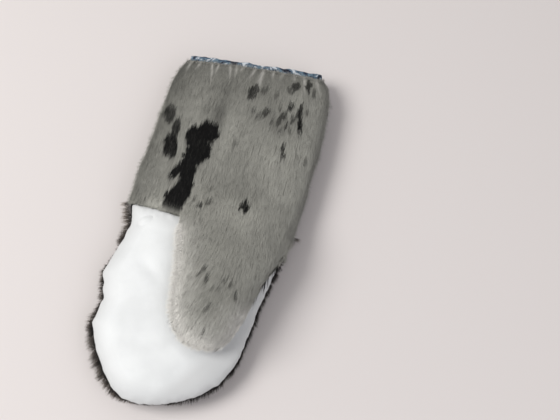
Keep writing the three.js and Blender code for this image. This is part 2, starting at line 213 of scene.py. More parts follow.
def add_modifier(piece, kind, **settings):
    """Adds one modifier with its settings."""
    modifier = piece.modifiers.new(kind.lower(), kind)
    for setting, value in settings.items():
        setattr(modifier, setting, value)


def apply_modifiers(piece):
    """Bakes the modifiers into the mesh."""
    graph = bpy.context.evaluated_depsgraph_get()
    mesh = bpy.data.meshes.new_from_object(piece.evaluated_get(graph))
    piece.modifiers.clear()
    piece.data = mesh


def finish_piece(piece, material, slot, *nodes):
    """Gives a piece its material and says which CAD nodes it stands for."""
    piece.data.materials.clear()
    piece.data.materials.append(material)
    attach(piece, "root")
    if nodes:
        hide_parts(*nodes)
    piece.data.calc_loop_triangles()
    print(f"{piece.name}: {len(piece.data.loop_triangles)} triangles")


print("points of the CAD leather:", len(places_of(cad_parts["palm_leather"])))

# %% [markdown]
# ## Helpers for shapes
# Fur, thread and beads are thousands of small equal shapes. A loop over objects would be slow, so numpy
# works out all points at once and one mesh takes them in. The sweep below makes closed strands: each
# starts in a point, swells to one or more rings and ends in a point, as a hair or a stitch does.

# %% Strands and noise
def unit(vectors):
    """Vectors at length 1, row by row."""
    return vectors / np.maximum(np.linalg.norm(vectors, axis=-1, keepdims=True), 1e-9)


def sweep(paths, widths, ups, sides, flat=1.0):
    """Points and triangles of closed strands, and the number of points in each.

    paths is (strands, stations, 3), widths is (strands, stations - 2) and ups is (strands, 3).
    The first and last stations are points, and each one between is a ring with a corner on top.
    flat is a strand's thickness as a share of its width.
    """
    strands, stations = paths.shape[:2]
    rings = stations - 2
    along = unit(paths[:, 2:] - paths[:, :-2])
    across = unit(np.cross(along, ups[:, None, :]))
    over = np.cross(across, along)
    turns = math.pi / 2 + np.arange(sides) * 2 * math.pi / sides
    circle = across[:, :, None] * np.cos(turns)[:, None] + over[:, :, None] * flat * np.sin(turns)[:, None]
    corners = paths[:, 1:-1, None] + circle * (widths / 2)[:, :, None, None]
    points = np.concatenate([paths[:, :1], corners.reshape(strands, -1, 3), paths[:, -1:]], axis=1)
    faces = []
    last = 1 + rings * sides
    for j in range(sides):
        k = (j + 1) % sides
        faces.append((0, 1 + j, 1 + k))
        faces.append((last, last - sides + k, last - sides + j))
        for ring in range(rings - 1):
            a = 1 + ring * sides
            b = a + sides
            faces.append((a + j, b + k, a + k))
            faces.append((a + j, b + j, b + k))
    per_strand = points.shape[1]
    triangles = np.array(faces)[None] + (np.arange(strands) * per_strand)[:, None, None]
    return points.reshape(-1, 3), triangles.reshape(-1, 3), per_strand


def soft_noise(points_mm, grain, seed):
    """Smooth bumps about `grain` mm across, mostly from -1 to 1 and the same at each run."""
    rng = np.random.default_rng(seed)
    waves = unit(rng.normal(size=(20, 3))) * rng.uniform(0.6, 1.5, (20, 1)) * (math.pi / grain)
    phases = rng.uniform(0, 2 * math.pi, 20)
    return np.cos(points_mm @ waves.T + phases).sum(axis=1) / math.sqrt(20)


def rise(values, start, end):
    """0 before start, 1 after end and a smooth step between. End may be the lower one."""
    share = np.clip((values - start) / (end - start), 0, 1)
    return share * share * (3 - 2 * share)


print("a step from 0 to 10 mm, at 0, 5 and 10 mm:", rise(np.array([0.0, 5.0, 10.0]), 0, 10))

# %% [markdown]
# ## From facets to hide
# The CAD walls are flat facets cut along the seams. Real hide is one soft surface, so each wall is
# copied, remeshed into small even squares and relaxed. A cloth simulation could do it too, but hide is
# too stiff to hang or wrinkle here. Plain relaxing would pull the cut edges back and open the seams, so
# points near a cut edge stay put and only the skin between them moves.

# %% Soft copies of the walls
SEAM_ANGLE = math.radians(38)  # an edge that stands out by more than this is a cut edge
SEAM_STEP = 0.0015  # metres between the points that mark a cut edge


def welded(node):
    """A CAD node's mesh for editing, with the points of its facets joined."""
    work = bmesh.new()
    work.from_mesh(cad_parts[node].data)
    bmesh.ops.remove_doubles(work, verts=work.verts, dist=1e-6)
    return work


def as_piece(work, name):
    """Ends the editing of a mesh and makes an object of it."""
    mesh = bpy.data.meshes.new(name)
    work.to_mesh(mesh)
    work.free()
    return add_object(name, mesh)


def point_tree(points):
    """A search tree of points."""
    tree = KDTree(len(points))
    for i, point in enumerate(points):
        tree.insert(point, i)
    tree.balance()
    return tree


def cut_edge_points(work, from_y=-math.inf):
    """Points in metres along the edges where a wall was cut, past from_y in mm."""
    points = []
    for edge in work.edges:
        a, b = (v.co.copy() for v in edge.verts)
        if edge.calc_face_angle_signed(0.0) > SEAM_ANGLE and min(a.y, b.y) > from_y * MM:
            steps = max(1, int((b - a).length / SEAM_STEP))
            points += [a.lerp(b, i / steps) for i in range(steps + 1)]
    return points


def soft_copy(node, name, voxel_mm, rounds, held_mm, held_from_y=-math.inf):
    """A wall as one even, relaxed surface, in which points near a cut edge past held_from_y stay put."""
    work = welded(node)
    cuts = point_tree(cut_edge_points(work, held_from_y))
    piece = as_piece(work, name)
    add_modifier(piece, "REMESH", mode="VOXEL", voxel_size=voxel_mm * MM)
    apply_modifiers(piece)
    gap = np.array([cuts.find(v.co)[2] for v in piece.data.vertices]) / MM
    group = piece.vertex_groups.new(name="free")
    for i, weight in enumerate(rise(gap, 0.3 * held_mm, held_mm)):
        group.add((i,), float(weight), "REPLACE")
    add_modifier(piece, "SMOOTH", factor=0.5, iterations=rounds, vertex_group="free")
    add_modifier(piece, "SMOOTH", factor=0.5, iterations=3)
    apply_modifiers(piece)
    piece.vertex_groups.clear()
    piece.data.shade_smooth()
    set_values(piece, "from_cut", gap)
    return piece


palm_skin = soft_copy("palm_leather", "palm_skin", 1.15, 60, 4.0)
palm_pelt = soft_copy("palm_fur", "palm_pelt", 1.8, 36, 4.0)
back_pelt = soft_copy("back_fur", "back_pelt", 2.1, 12, 4.0, held_from_y=8.0)
for piece in (palm_skin, palm_pelt, back_pelt):
    print(piece.name, "has", len(piece.data.polygons), "faces")

# %% [markdown]
# ## Undercoat
# Seal fur has a dense woolly layer under the long guard hairs. The CAD fur is as thick as the whole
# pile, so the undercoat is that wall drawn in a little, with low waves in it. The hairs then fill the
# space up to the CAD surface. What is left of the wall carries the colour wherever hairs part. On the
# back it also slopes in under the palm, because only loose hair shows past the leather there.

# %% Draw the undercoat in and give it waves
UNDERCOAT_INSET = 1.1  # mm below the CAD surface, on each face
UNDERCOAT_WAVE = 0.25
UNDERCOAT_LOW = 0.6  # mm over the table at least
RIM_INSET = 0.3  # mm from the leather's edge in to the top of the back's undercoat
RIM_SLOPE = 0.65  # how fast the undercoat falls back in under that edge, towards the table
RIM_TO_Y = 4.0  # the rim ends here, where the cuff starts
RIM_FADE = 12.0  # and fades out over this length, mm
UNDERSIDE_TOP = 0.15  # the underside is flat up to this share of the seam's height
SIDE_SEAM_TOP = 18.4  # mm, the side seam lies below this height and the other seams above it
FAR_INSIDE = -99.0  # stands for a place beside the cuff, where there is no rim
SEAM_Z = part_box("back_fur")[1].z / MM
PALM_MIDDLE = np.array([-3.0, -60.0])


def leather_edge():
    """A search tree of the points along the leather's side seam, in plan."""
    work = welded("palm_leather")
    points = [(p.x, p.y, 0) for p in cut_edge_points(work) if p.z < SIDE_SEAM_TOP * MM]
    work.free()
    return point_tree(points)


EDGE = leather_edge()


def past_edge(points):
    """For each point, its nearest place on the leather's edge in plan and how far it stands out past it,
    in mm. Points inside the edge get a negative number."""
    near = np.array([EDGE.find((x * MM, y * MM, 0))[0][:2] for x, y in points[:, :2]]) / MM
    off = points[:, :2] - near
    side = np.sign(((near - PALM_MIDDLE) * off).sum(axis=1))
    return near, np.where(points[:, 1] < RIM_TO_Y, side * np.linalg.norm(off, axis=1), FAR_INSIDE)


def rim_at(points):
    """How far out past the leather's edge the undercoat may stand at the height of each point, mm."""
    return -RIM_INSET - RIM_SLOPE * np.maximum(SEAM_Z - points[:, 2], 0)


def off_the_table(points):
    """True for points that aren't on the flat underside."""
    return points[:, 2] > UNDERSIDE_TOP * SEAM_Z


def tuck_in(points):
    """Draws the sides of the back in under the palm, so that only hair shows past the leather."""
    near, reach = past_edge(points)
    too_far = reach - rim_at(points)
    moved = (too_far > 0) & off_the_table(points)
    inward = unit(PALM_MIDDLE - near[moved])
    share = rise(points[moved, 1], RIM_TO_Y, RIM_TO_Y - RIM_FADE)
    points[moved, :2] += inward * (too_far[moved] * share)[:, None]
    return points


for piece in (palm_pelt, back_pelt):
    points = places_of(piece)
    inward = normals_of(piece)
    # Near a cut edge nothing moves along the mitten, so that the seam across the palm stays closed
    inward[:, 1] *= rise(values_of(piece, "from_cut"), 1.0, 3.0)
    wave = soft_noise(points, 11, 3) * UNDERCOAT_WAVE
    points = points - inward * (UNDERCOAT_INSET - wave)[:, None]
    points[:, 2] = np.maximum(points[:, 2], UNDERCOAT_LOW)
    move_points(piece, tuck_in(points) if piece is back_pelt else points)
print("undercoat lowest point, mm:", round(places_of(back_pelt)[:, 2].min(), 2))

# %% [markdown]
# ## Where hair grows
# Hairs are scattered over a surface evenly by area: a face is drawn with a chance in proportion to its
# size, and then a place on it. Blender's own hair could do this, but it isn't mesh, and an exported model
# would lack it. Hair grows only on the outside, and the lining lies inside, so a place counts as outside
# when its surface looks away from the nearest point of the lining.

# %% Scatter places on a surface
def surface_tree(*pieces):
    """A search tree of the surface of one or more pieces, in metres."""
    points, faces = [], []
    for piece in pieces:
        first = len(points)
        points += [v.co.copy() for v in piece.data.vertices]
        faces += [[first + i for i in face.vertices] for face in piece.data.polygons]
    return BVHTree.FromPolygons(points, faces)


def nearest(tree, places):
    """The points of a surface that lie nearest to places, all in mm."""
    return np.array([tree.find_nearest(p)[0] for p in places * MM]) / MM


lining_tree = surface_tree(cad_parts["lining"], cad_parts["lining_hem"])
FACES_AWAY = 0.35  # least cosine between the way a place faces and the way out from the lining


def faces_out(places, out):
    """True for the places whose surface looks away from the lining."""
    off = places - nearest(lining_tree, places)
    return (off * out).sum(axis=1) > FACES_AWAY * np.linalg.norm(off, axis=1)


def scatter(piece, per_mm2, seed, within=None):
    """Random places in mm on the outside of a piece, with the direction that its surface faces there.
    `within` takes places and says which of them may be used."""
    mesh = piece.data
    mesh.calc_loop_triangles()
    corners = read(mesh.loop_triangles, "vertices", 3, np.int32)
    points = places_of(piece)
    a, b, c = (points[corners[:, i]] for i in range(3))
    area = np.linalg.norm(np.cross(b - a, c - a), axis=1) / 2
    if within:
        area = area * within((a + b + c) / 3)
    rng = np.random.default_rng(seed)
    face = rng.choice(len(area), int(area.sum() * per_mm2), p=area / area.sum())
    share = rng.random((len(face), 2))
    share[share.sum(axis=1) > 1] = 1 - share[share.sum(axis=1) > 1]
    weights = np.column_stack([1 - share.sum(axis=1), share])[:, :, None]
    places = (points[corners[face]] * weights).sum(axis=1)
    out = unit((normals_of(piece)[corners[face]] * weights).sum(axis=1))
    outside = faces_out(places, out)
    return places[outside], out[outside]


palm_roots, palm_out = scatter(palm_pelt, 1.8, 11)
back_roots, back_out = scatter(back_pelt, 0.72, 12)
print("hair places on the palm side:", len(palm_roots), "and on the back:", len(back_roots))

# %% [markdown]
# ## The lie of the hair
# Seal hair is short and stiff and lies flat, from the hem towards the fingertips. It spreads a little
# at the sides and fans out on the thumb. Slow noise turns whole areas, and fine noise gives small locks.
# At the hem the skin is gathered, and the hair parts at each small pleat. A direction worked out for
# each root is simpler than combing, and it comes out the same at each run.

# %% Pleats at the hem
PLEATS = [
    # x at the hem, length from the hem down and half width in mm, slant to the little-finger side
    (-62, 9, 1.2, 0.05), (-54, 12, 1.3, 0.15), (-45, 11, 1.1, 0.25), (-34, 24, 1.1, -0.22),
    (-28, 14, 1.1, 0.05), (-17, 19, 1.2, -0.2), (-11, 15, 1.1, -0.05), (-5, 8, 1.0, 0.35),
    (6, 14, 1.2, 0.28), (13, 33, 1.7, 0.02), (22, 10, 1.0, -0.1), (31, 9, 1.0, 0.15),
    (41, 8, 1.0, -0.15), (50, 22, 1.2, -0.22), (61, 17, 1.4, -0.4),
]
PLEAT_PART = 0.5  # how far the hair turns aside at a pleat, as a share of its length
HEM_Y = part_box("palm_fur")[1].y / MM
HEM_DROP = 4.5  # mm from the top of the CAD fur down to the hem's end on the thumb side
HEM_END_X = 79  # x of that end
HEM_SLOPE = 0.065  # the hem runs up towards the thumb side


def below_hem(places):
    """Distance from the hem's edge down the cuff, mm."""
    return HEM_Y - HEM_DROP - (HEM_END_X - places[:, 0]) * HEM_SLOPE - places[:, 1]


def pleat_shift(places):
    """How far a place is drawn aside by the nearest pleat, and how deep in a pleat it is, 0 to 1."""
    aside = np.zeros(len(places))
    deep = np.zeros(len(places))
    for x, length, half_wide, slant in PLEATS:
        off = places[:, 0] - x + slant * below_hem(places)
        near = np.exp(-((off / half_wide) ** 2)) * (1 - rise(below_hem(places), 0, 1.15 * length))
        aside += near * np.sign(off)
        deep += near
    return aside, np.minimum(deep, 1)


print("pleats at the hem:", len(PLEATS))

# %% Direction of the hair
THUMB_STRAIGHT_X = 49.0  # the thumb's hairs run straight down here, and lean to the palm on its near side


def lie_of(places, out, seed, ruffle):
    """Unit directions in which the hairs lie, along the surface. Ruffle is how much small locks turn."""
    aside = 0.12 * (places[:, 0] / 75) ** 3  # the coat spreads at the sides, 75 mm from the middle
    on_thumb = 1 - rise(places[:, 1], -60, 10)
    aside += on_thumb * 0.50 * np.clip((places[:, 0] - THUMB_STRAIGHT_X) / 45, -1, 0.2)
    aside += 0.06 * soft_noise(places, 45, seed) + ruffle * soft_noise(places, 9, seed + 1)
    aside += PLEAT_PART * pleat_shift(places)[0]
    aside += np.random.default_rng(seed + 2).normal(0, 0.03, len(places))
    lie = np.column_stack([aside, -np.ones(len(places)), np.zeros(len(places))])
    lie -= out * (lie * out).sum(axis=1)[:, None]
    return unit(lie)


middle_lie = lie_of(palm_roots, palm_out, 31, 0.03).mean(axis=0)
print("mean lie of the grey hair:", middle_lie.round(2))

# %% Edges that the hair is measured from
SEAM_Y = -4.1  # the seam between cuff and palm crosses x = 0 here, and slopes down to the thumb side
SEAM_SLOPE = -0.12


def thumb_edges():
    """The thumb's outline in plan: rows of y, with its least and greatest x at each, in mm."""
    points = places_of(palm_pelt)
    points = points[(points[:, 1] < -6) & (points[:, 2] > 24)]
    rows = np.arange(math.ceil(points[:, 1].min()) + 1, -6, 3.0)
    near = [points[np.abs(points[:, 1] - y) < 2.5, 0] for y in rows]
    return rows, np.array([x.min() for x in near]), np.array([x.max() for x in near])


thumb_rows, thumb_left, thumb_right = thumb_edges()
THUMB_END = thumb_rows[0] - 1.0
CROTCH_X = thumb_left[-1]  # where the thumb leaves the hand


def from_thumb_edge(places):
    """Distance in plan from the thumb's free edge and end to places on it, mm."""
    off_left = places[:, 0] - np.interp(places[:, 1], thumb_rows, thumb_left)
    off_right = np.interp(places[:, 1], thumb_rows, thumb_right) - places[:, 0]
    off_right += 40 * rise(places[:, 1], -80, -45)  # higher up, the thumb's outer side is no free edge
    return np.minimum(np.minimum(off_left, off_right), 0.9 * (places[:, 1] - THUMB_END))


def past_seam(places):
    """Distance from the seam across the palm up to places on the cuff, mm."""
    return places[:, 1] - SEAM_Y - SEAM_SLOPE * places[:, 0]


print("thumb's end at y, mm:", round(THUMB_END, 1), "and its crotch at x, mm:", round(CROTCH_X, 1))

# %% [markdown]
# ## Markings
# The grey fur has one big dark blotch and many small flecks. They are charted as ovals, in mm on
# the mitten: centre, half length, half width and lean to the thumb side. The edge of an oval is
# ragged by noise. A hair takes one tone from near its root, so each mark frays the way the hair lies.
# A painted picture could do this too, but ovals in mm stay sharp at any size and are easy to move.

# %% Chart of the markings
MARKS = [
    # x, y, half length, half width, lean in degrees, depth of tone
    (-22, 75, 16, 13, 15, 1.0), (-16, 80, 11, 8, -13, 1.0), (-30, 74, 15, 7, -2, 1.0),
    (-22, 58, 15, 11, 21, 1.0), (-25, 38, 15, 7.5, -8, 1.0), (-34, 40, 11, 4.5, 29, 1.0),
    (-25, 19, 16, 8.5, 4, 1.0), (-32, 14, 12, 6.5, 12, 0.95), (-28, 4, 10, 7.5, 8, 1.0),
    (-57, 94, 11, 5, -9, 0.7), (-57, 92, 4, 6, 0, 0.45), (-47, 78, 11, 3.6, -2, 0.75),
    (-47, 62, 14, 6.5, -14, 0.9), (-57, 5, 3, 7, 10, 0.35), (-12, 15, 2.5, 1.8, -5, 0.5),
    (-5, 8, 3, 2.2, 2, 0.7), (1, 13, 3, 2.4, 17, 0.5), (-2, 27, 3, 1.6, 2, 0.4),
    (10, 127, 7, 3.8, 14, 0.7), (20, 132, 4, 2.6, 28, 0.45), (31, 129, 3, 1.8, 10, 0.3),
    (15, 109, 3, 1.8, 2, 0.5), (26, 111, 5, 3, 22, 0.62), (20, 106, 3, 1.6, 10, 0.4),
    (45, 142, 5, 4, 5, 0.7), (41, 137, 3, 2.2, 5, 0.5), (56, 146, 6, 2.4, -8, 0.75),
    (62, 141, 4, 1.6, -8, 0.5), (46, 121, 4, 2.4, -1, 0.75), (55, 119, 6, 2.0, -4, 0.8),
    (57, 107, 8, 1.8, -10, 0.9), (42, 111, 4, 2.4, 11, 0.65), (51, 112, 4, 2.2, -7, 0.6),
    (46, 102, 3, 1.5, 0, 0.6), (39, 105, 4, 1.7, -7, 0.55), (50, 98, 2.5, 1.2, -4, 0.5),
    (42, 97, 2.5, 1.2, 4, 0.45), (49, 78, 8, 2.0, -8, 0.7), (62, 78, 3, 1.4, -49, 0.4),
    (69, 76, 4, 1.4, 6, 0.4), (8, 75, 3.3, 1.7, 17, 0.4), (31, 17, 6, 3.4, 1, 0.9),
    (50, 108, 3, 1.3, 5, 0.5), (37, 118, 3, 1.3, 0, 0.45), (60, 121, 4, 1.3, -8, 0.5),
    (33, 102, 2.5, 1.2, 0, 0.45), (15, -46, 3, 1.5, 11, 0.6), (12, -52, 2.3, 1.3, 29, 0.5),
    (19, -54, 4, 1.5, 4, 0.6), (33, -52, 3, 1.6, 41, 0.5), (38, -54, 3, 1.4, 18, 0.5),
    (25, -61, 2, 1.3, 21, 0.4), (30, -60, 2.2, 1.3, 6, 0.4), (44, -62, 3, 1.3, -7, 0.55),
    (25, -78, 3, 1.5, 18, 0.55), (27, -97, 2.5, 1.5, 16, 0.5),
]


def marking_at(places):
    """Depth of the dark marks, 0 to 1, for places on the palm side."""
    coarse = 0.10 * soft_noise(places, 6, 21)
    fine = 0.10 * soft_noise(places, 2, 22)
    depth = np.zeros(len(places))
    for x, y, half_long, half_wide, lean, tone in MARKS:
        turn = math.radians(lean)
        along = (places[:, 1] - y) * math.cos(turn) + (places[:, 0] - x) * math.sin(turn)
        aside = (places[:, 0] - x) * math.cos(turn) - (places[:, 1] - y) * math.sin(turn)
        small = 1 - rise(half_long * half_wide, 8, 60)  # a small fleck is more broken up than a large mark
        reach = np.hypot(along / half_long, aside / half_wide) + coarse + fine * (1 + 2.2 * small)
        depth = np.maximum(depth, tone * (1 - rise(reach - 0.16 * small, 0.85, 1.12)))
    return depth


def kept_at_seam(points):
    """Share of a mark's depth that is left near the seam across the palm, where the hair is worn thin."""
    at_leather = 1 - rise(points[:, 0], CROTCH_X - 1, CROTCH_X + 3)
    return 1 - 0.8 * at_leather * (1 - rise(past_seam(points), -1.5, 5))


share_marked = float((marking_at(palm_roots) > 0.3).mean())
print("marks charted:", len(MARKS), "share of hairs in a mark:", round(share_marked, 3))

# %% [markdown]
# ## Pale hair and painted broad light and shade
# The pile opens in the pleats and thins out at the thumb's edge, so paler hair shows there. Besides, broad
# soft areas of lighter and darker grey are painted into the coat: painted light and shade, with a little
# random tone. Noise in the material could make such areas, but not where they are wanted. So both are
# functions of the place on the mitten, and the hairs and the undercoat under them take the same values.

# %% Where the coat is pale
PALE_FROM_EDGE = [
    # mm in from the thumb's edge, share of pale hair
    (0, 0.70), (3, 0.52), (6, 0.36), (10, 0.22), (15, 0.14), (26, 0.0),
]
PALE_IN_PLEATS = 0.42
THUMB_CORNER = (2, -104)  # the hair thins out most here, at the thumb's end on the palm's side
CORNER_EXTRA = 7  # mm that the pale rim is wider there
CORNER_SIZE = 15


def pale_at(places):
    """Where the hair is pale: in the pleats at the hem and towards the thumb's free edge, with painted light
    on the thumb's end.
    """
    hem = PALE_IN_PLEATS * pleat_shift(places)[1]
    on_thumb = (places[:, 1] < -2) & (places[:, 2] > 19)
    from_corner = np.hypot(places[:, 0] - THUMB_CORNER[0], places[:, 1] - THUMB_CORNER[1])
    gap = from_thumb_edge(places) - CORNER_EXTRA * np.exp(-((from_corner / CORNER_SIZE) ** 2))
    rim = np.interp(gap, *zip(*PALE_FROM_EDGE))
    # Paler hair, and painted light on the thumb's end
    rim *= 1.1 - 0.25 * rise(places[:, 1], -80, -20)  # the rim is palest at the thumb's end
    return np.clip(np.where(on_thumb, rim * (1 - rise(places[:, 1], -20, 0)), hem), 0, 1)


print("mean paleness at the roots:", round(float(pale_at(palm_roots).mean()), 3))

# %% Painted broad light and shade
# Patches of painted shade, and of painted light where the number is below zero
PAINTED_SHADE_PATCHES = [
    # x, y, half width and half length in mm, how much darker
    (43, 106, 15, 12, 0.38), (49, 146, 12, 5, 0.10), (-13, 101, 6, 24, 0.46), (-25, 102, 6, 16, 0.20),
    (1, 98, 6, 20, -0.20), (18, 46, 24, 20, 0.20), (27, 13, 20, 11, -0.30), (-44, 8, 9, 8, -0.46),
]


def painted_light_and_tone_at(places):
    """Lightness of the grey coat: painted broad light and shade, with a little random tone, which run on
    from the cuff into the thumb.
    """
    x, y = places[:, 0], places[:, 1]
    even = 1.04 + 0.03 * soft_noise(places, 9, 41)
    # Painted light: the thumb is lighter at its end and on its outer side
    on_thumb = even - 0.10 + 0.03 * (1 - rise(y, -100, -40)) + 0.22 * rise(x, 34, 58)
    # Painted shade and light: the cuff darkens to the little-finger side and up to the hem,
    # but is lighter at the seam there
    on_cuff = even - 0.52 * (1 - rise(x, -80, -34)) + 0.26 * rise(x, 15, 65) - 0.06 * rise(y, 25, 70)
    on_cuff += 0.16 * (1 - rise(past_seam(places), 0, 14)) * (1 - rise(x, -30, -16))
    on_cuff -= 0.18 * (1 - rise(below_hem(places), 10, 60)) + 0.04 * (1 - rise(below_hem(places), 3, 20))
    for middle_x, middle_y, half_wide, half_long, darker in PAINTED_SHADE_PATCHES:
        on_cuff -= darker * np.exp(-((x - middle_x) / half_wide) ** 2 - ((y - middle_y) / half_long) ** 2)
    return on_thumb + (on_cuff - on_thumb) * rise(y, -45, 0)


shades = painted_light_and_tone_at(palm_roots)
print("lightness of the coat from", round(float(shades.min()), 2), "to", round(float(shades.max()), 2))

# %% [markdown]
# ## Sealskin material
# Sealskin is dressed with its hair on. A guard hair is keratin, dark or grey, with a paler tip. The
# gloss is broad and soft, because each hair is a tiny rough cylinder, so the roughness is near one half
# and the index of refraction is that of keratin, 1.55. The mirror part is kept low, because the
# undercoat between the hairs swallows light. Four numbers from the mesh steer the colour: how far along
# its hair a point is, the hair's lightness, which carries painted broad light and shade besides its own
# tone, and the depths of the marking and of the paleness.
# Noise of 40 mm adds the cloudy patches of a real pelt.

# %% Fur materials
def sealskin(tree, root, shaft, tip, pale, mark, patch_light, sheen):
    """Fur that runs from its root colour to its tip colour, paler in places and with marks over it."""
    along, lightness, marking, paleness = (
        add_node(tree, "ShaderNodeAttribute", attribute_name=name).outputs["Fac"]
        for name in ("along", "lightness", "marking", "paleness")
    )
    hair = add_node(tree, "ShaderNodeValToRGB", {"Fac": along}, [(0.1, root), (0.5, shaft), (1.0, tip)])
    place = add_node(tree, "ShaderNodeTexCoord").outputs["Object"]
    patches = add_node(tree, "ShaderNodeTexNoise", {"Vector": place, "Scale": 1 / 0.040, "Detail": 4.0})
    patch = add_node(tree, "ShaderNodeMapRange", {
        "Value": patches.outputs["Fac"], "From Min": 0.3, "From Max": 0.7,
        "To Min": 1 - patch_light, "To Max": 1 + patch_light,
    })
    value = add_node(tree, "ShaderNodeMath", {0: lightness, 1: patch.outputs["Result"]}, operation="MULTIPLY")
    shade = add_node(tree, "ShaderNodeHueSaturation", {
        "Color": hair.outputs["Color"], "Value": value.outputs[0],
    })
    paler = add_node(tree, "ShaderNodeMix", {
        FACTOR: paleness, FIRST: shade.outputs["Color"], SECOND: linear(pale),
    }, data_type="RGBA")
    coat = add_node(tree, "ShaderNodeMix", {
        FACTOR: marking, FIRST: paler.outputs[RESULT], SECOND: linear(mark),
    }, data_type="RGBA")
    return add_node(tree, "ShaderNodeBsdfPrincipled", {
        "Base Color": coat.outputs[RESULT], "Roughness": 0.55, "IOR": 1.55, "Specular IOR Level": 0.14,
        "Sheen Weight": sheen, "Sheen Roughness": 0.5,
    })


grey_sealskin = new_material(
    "grey_sealskin", sealskin, root="#75756f", shaft="#8f8f88", tip="#a0a098", pale="#eceae4", mark="#060606",
    patch_light=0.08, sheen=0.03,
)
dark_sealskin = new_material(
    "dark_sealskin", sealskin, root="#0b0b0c", shaft="#1b1a1b", tip="#35312f", pale="#35312f", mark="#0b0b0c",
    patch_light=0.2, sheen=0.04,
)
rim_sealskin = new_material(
    "rim_sealskin", sealskin, root="#141312", shaft="#4a443f", tip="#a0958a", pale="#35312f", mark="#141312",
    patch_light=0.2, sheen=0.04,
)
GREY, DARK, RIM = (grey_sealskin, "grey_fur"), (dark_sealskin, "dark_fur"), (rim_sealskin, "dark_fur")
print("fur materials:", [fur[0].name for fur in (GREY, DARK, RIM)])

# %% [markdown]
# ## Hair
# Each hair is a thin closed spindle of six faces: its tail is under the surface, it is widest near a
# third of its length and it ends in a point. It is flat, as a seal's guard hair is. Short fur needs no
# more, and tens of thousands of them stay light. Hairs of one lock lean towards each other and share a
# tone, which draws the long soft streaks of a sleek coat. In the coat, their middles and tips settle at
# a set height over the undercoat, so that they follow its curves. Their shading follows the coat more
# than their own roundness, because a real pile is far denser and reads as one surface.

# %% Locks, height and shading of hairs
HAIR_SIDES = 3
HAIR_FLAT = 0.5  # thickness as a share of the width
HAIR_ROUND = 0.4  # how much a hair's own roundness shows in its shading, against the coat's
ROOT_DEPTH = 0.7  # mm from the surface down to a hair's tail
TABLE_CLEAR = 0.3  # mm that every hair keeps over the table


def locks(places, pitch_mm, seed):
    """For each hair, the number of the hair that leads its lock."""
    rng = np.random.default_rng(seed)
    leads = rng.permutation(len(places))[:max(1, int(len(places) / (pitch_mm * pitch_mm * 1.2)))]
    tree = point_tree(places[leads])
    return leads[[tree.find(p)[1] for p in places]]


def settle(points, out, lift, skin, share):
    """Moves points along the hairs' outward direction until they stand `lift` mm over the skin, or a
    share of the way there."""
    height = ((points - nearest(skin, points)) * out).sum(axis=1)
    return points + out * ((lift - height) * share)[:, None]


def shade_as_coat(piece, points, out, per_hair):
    """Turns the shading of the hairs to the way that the coat faces under them, so that they read as one."""
    hairs = points.reshape(len(out), per_hair, 3)
    off = hairs - hairs[:, 1:-1].mean(axis=1, keepdims=True)
    off[:, [0, -1]] = 0  # the two end points have no side
    normals = unit(out[:, None] + HAIR_ROUND * unit(off))
    piece.data.normals_split_custom_set_from_vertices(normals.reshape(-1, 3).tolist())


def flat_map(piece):
    """A texture map laid straight down on the piece, as a plan of it, for when its colours are baked."""
    points = places_of(piece)[:, :2]
    low, high = points.min(axis=0), points.max(axis=0)
    plan = (points - low) / (high - low).max()
    corners = read(piece.data.loops, "vertex_index", 1, np.int32)[:, 0]
    layer = piece.data.uv_layers.new(name="OFBake")
    layer.data.foreach_set("uv", plan[corners].astype(np.float32).ravel())


palm_tree, back_tree = surface_tree(palm_pelt), surface_tree(back_pelt)
print("a hair has", HAIR_SIDES, "sides and is", HAIR_FLAT, "times as thick as it is wide")

# %% Grow hair
LOCK_CONTRAST = 0.02  # spread of the locks' lightness round that of the coat


def grow(name, fur, places, out, lie, length, width, lift, lightness, seed, marking=0.0, paleness=0.0,
         skin=None, follow=1.0, fade=None, facing=None, pitch_mm=2.5, pull=0.2):
    """One piece of hairs from their roots. length, width and lift are in mm, one number per hair.

    With a skin, the hairs follow it, fully or by the share `follow`. paleness is one number per hair, or
    a function that gives it at any points. fade is a function for the share of the marking that is kept
    at points. facing is the way that the coat faces where it isn't the skin's. Locks are pitch_mm wide,
    and pull is how far their tips draw together.
    """
    lead = locks(places, pitch_mm, seed)
    tips = places + lie * length[:, None]
    tips += (tips[lead] - tips) * pull
    middle = places + (tips - places) * 0.4
    if skin:
        middle = settle(middle, out, 0.9 * lift, skin, follow)
        tips = settle(tips, out, lift, skin, follow)
    else:
        middle += out * (lift * 0.8)[:, None]
        tips += out * lift[:, None]
    paths = np.stack([places - out * ROOT_DEPTH, middle, tips], axis=1)
    paths[:, :, 2] = np.maximum(paths[:, :, 2], TABLE_CLEAR)
    points, triangles, per_hair = sweep(paths, width[:, None], out, HAIR_SIDES, HAIR_FLAT)
    piece = mesh_piece(name, points, triangles)
    shade_as_coat(piece, points, out if facing is None else facing, per_hair)

    def per_point(values):
        return np.repeat(np.broadcast_to(values, len(places)), per_hair)

    tone = np.random.default_rng(seed + 1).normal(0, LOCK_CONTRAST, len(places))[lead]
    set_values(piece, "along", np.tile([0.0] + [0.45] * HAIR_SIDES + [1.0], len(places)))
    set_values(piece, "lightness", per_point(lightness + tone))
    set_values(piece, "marking", per_point(marking) * (fade(points) if fade else 1))
    set_values(piece, "paleness", paleness(points) if callable(paleness) else per_point(paleness))
    flat_map(piece)
    finish_piece(piece, *fur)


print("points in each hair:", HAIR_SIDES + 2)

# %% [markdown]
# ## Hair of the cuff and the thumb
# The cuff's hair runs down to the seam across the palm and a little over it. On the thumb the hairs come
# loose towards the free edge. The coat is made as three pieces of moderate size, so that a program that
# opens the model can handle each of them.

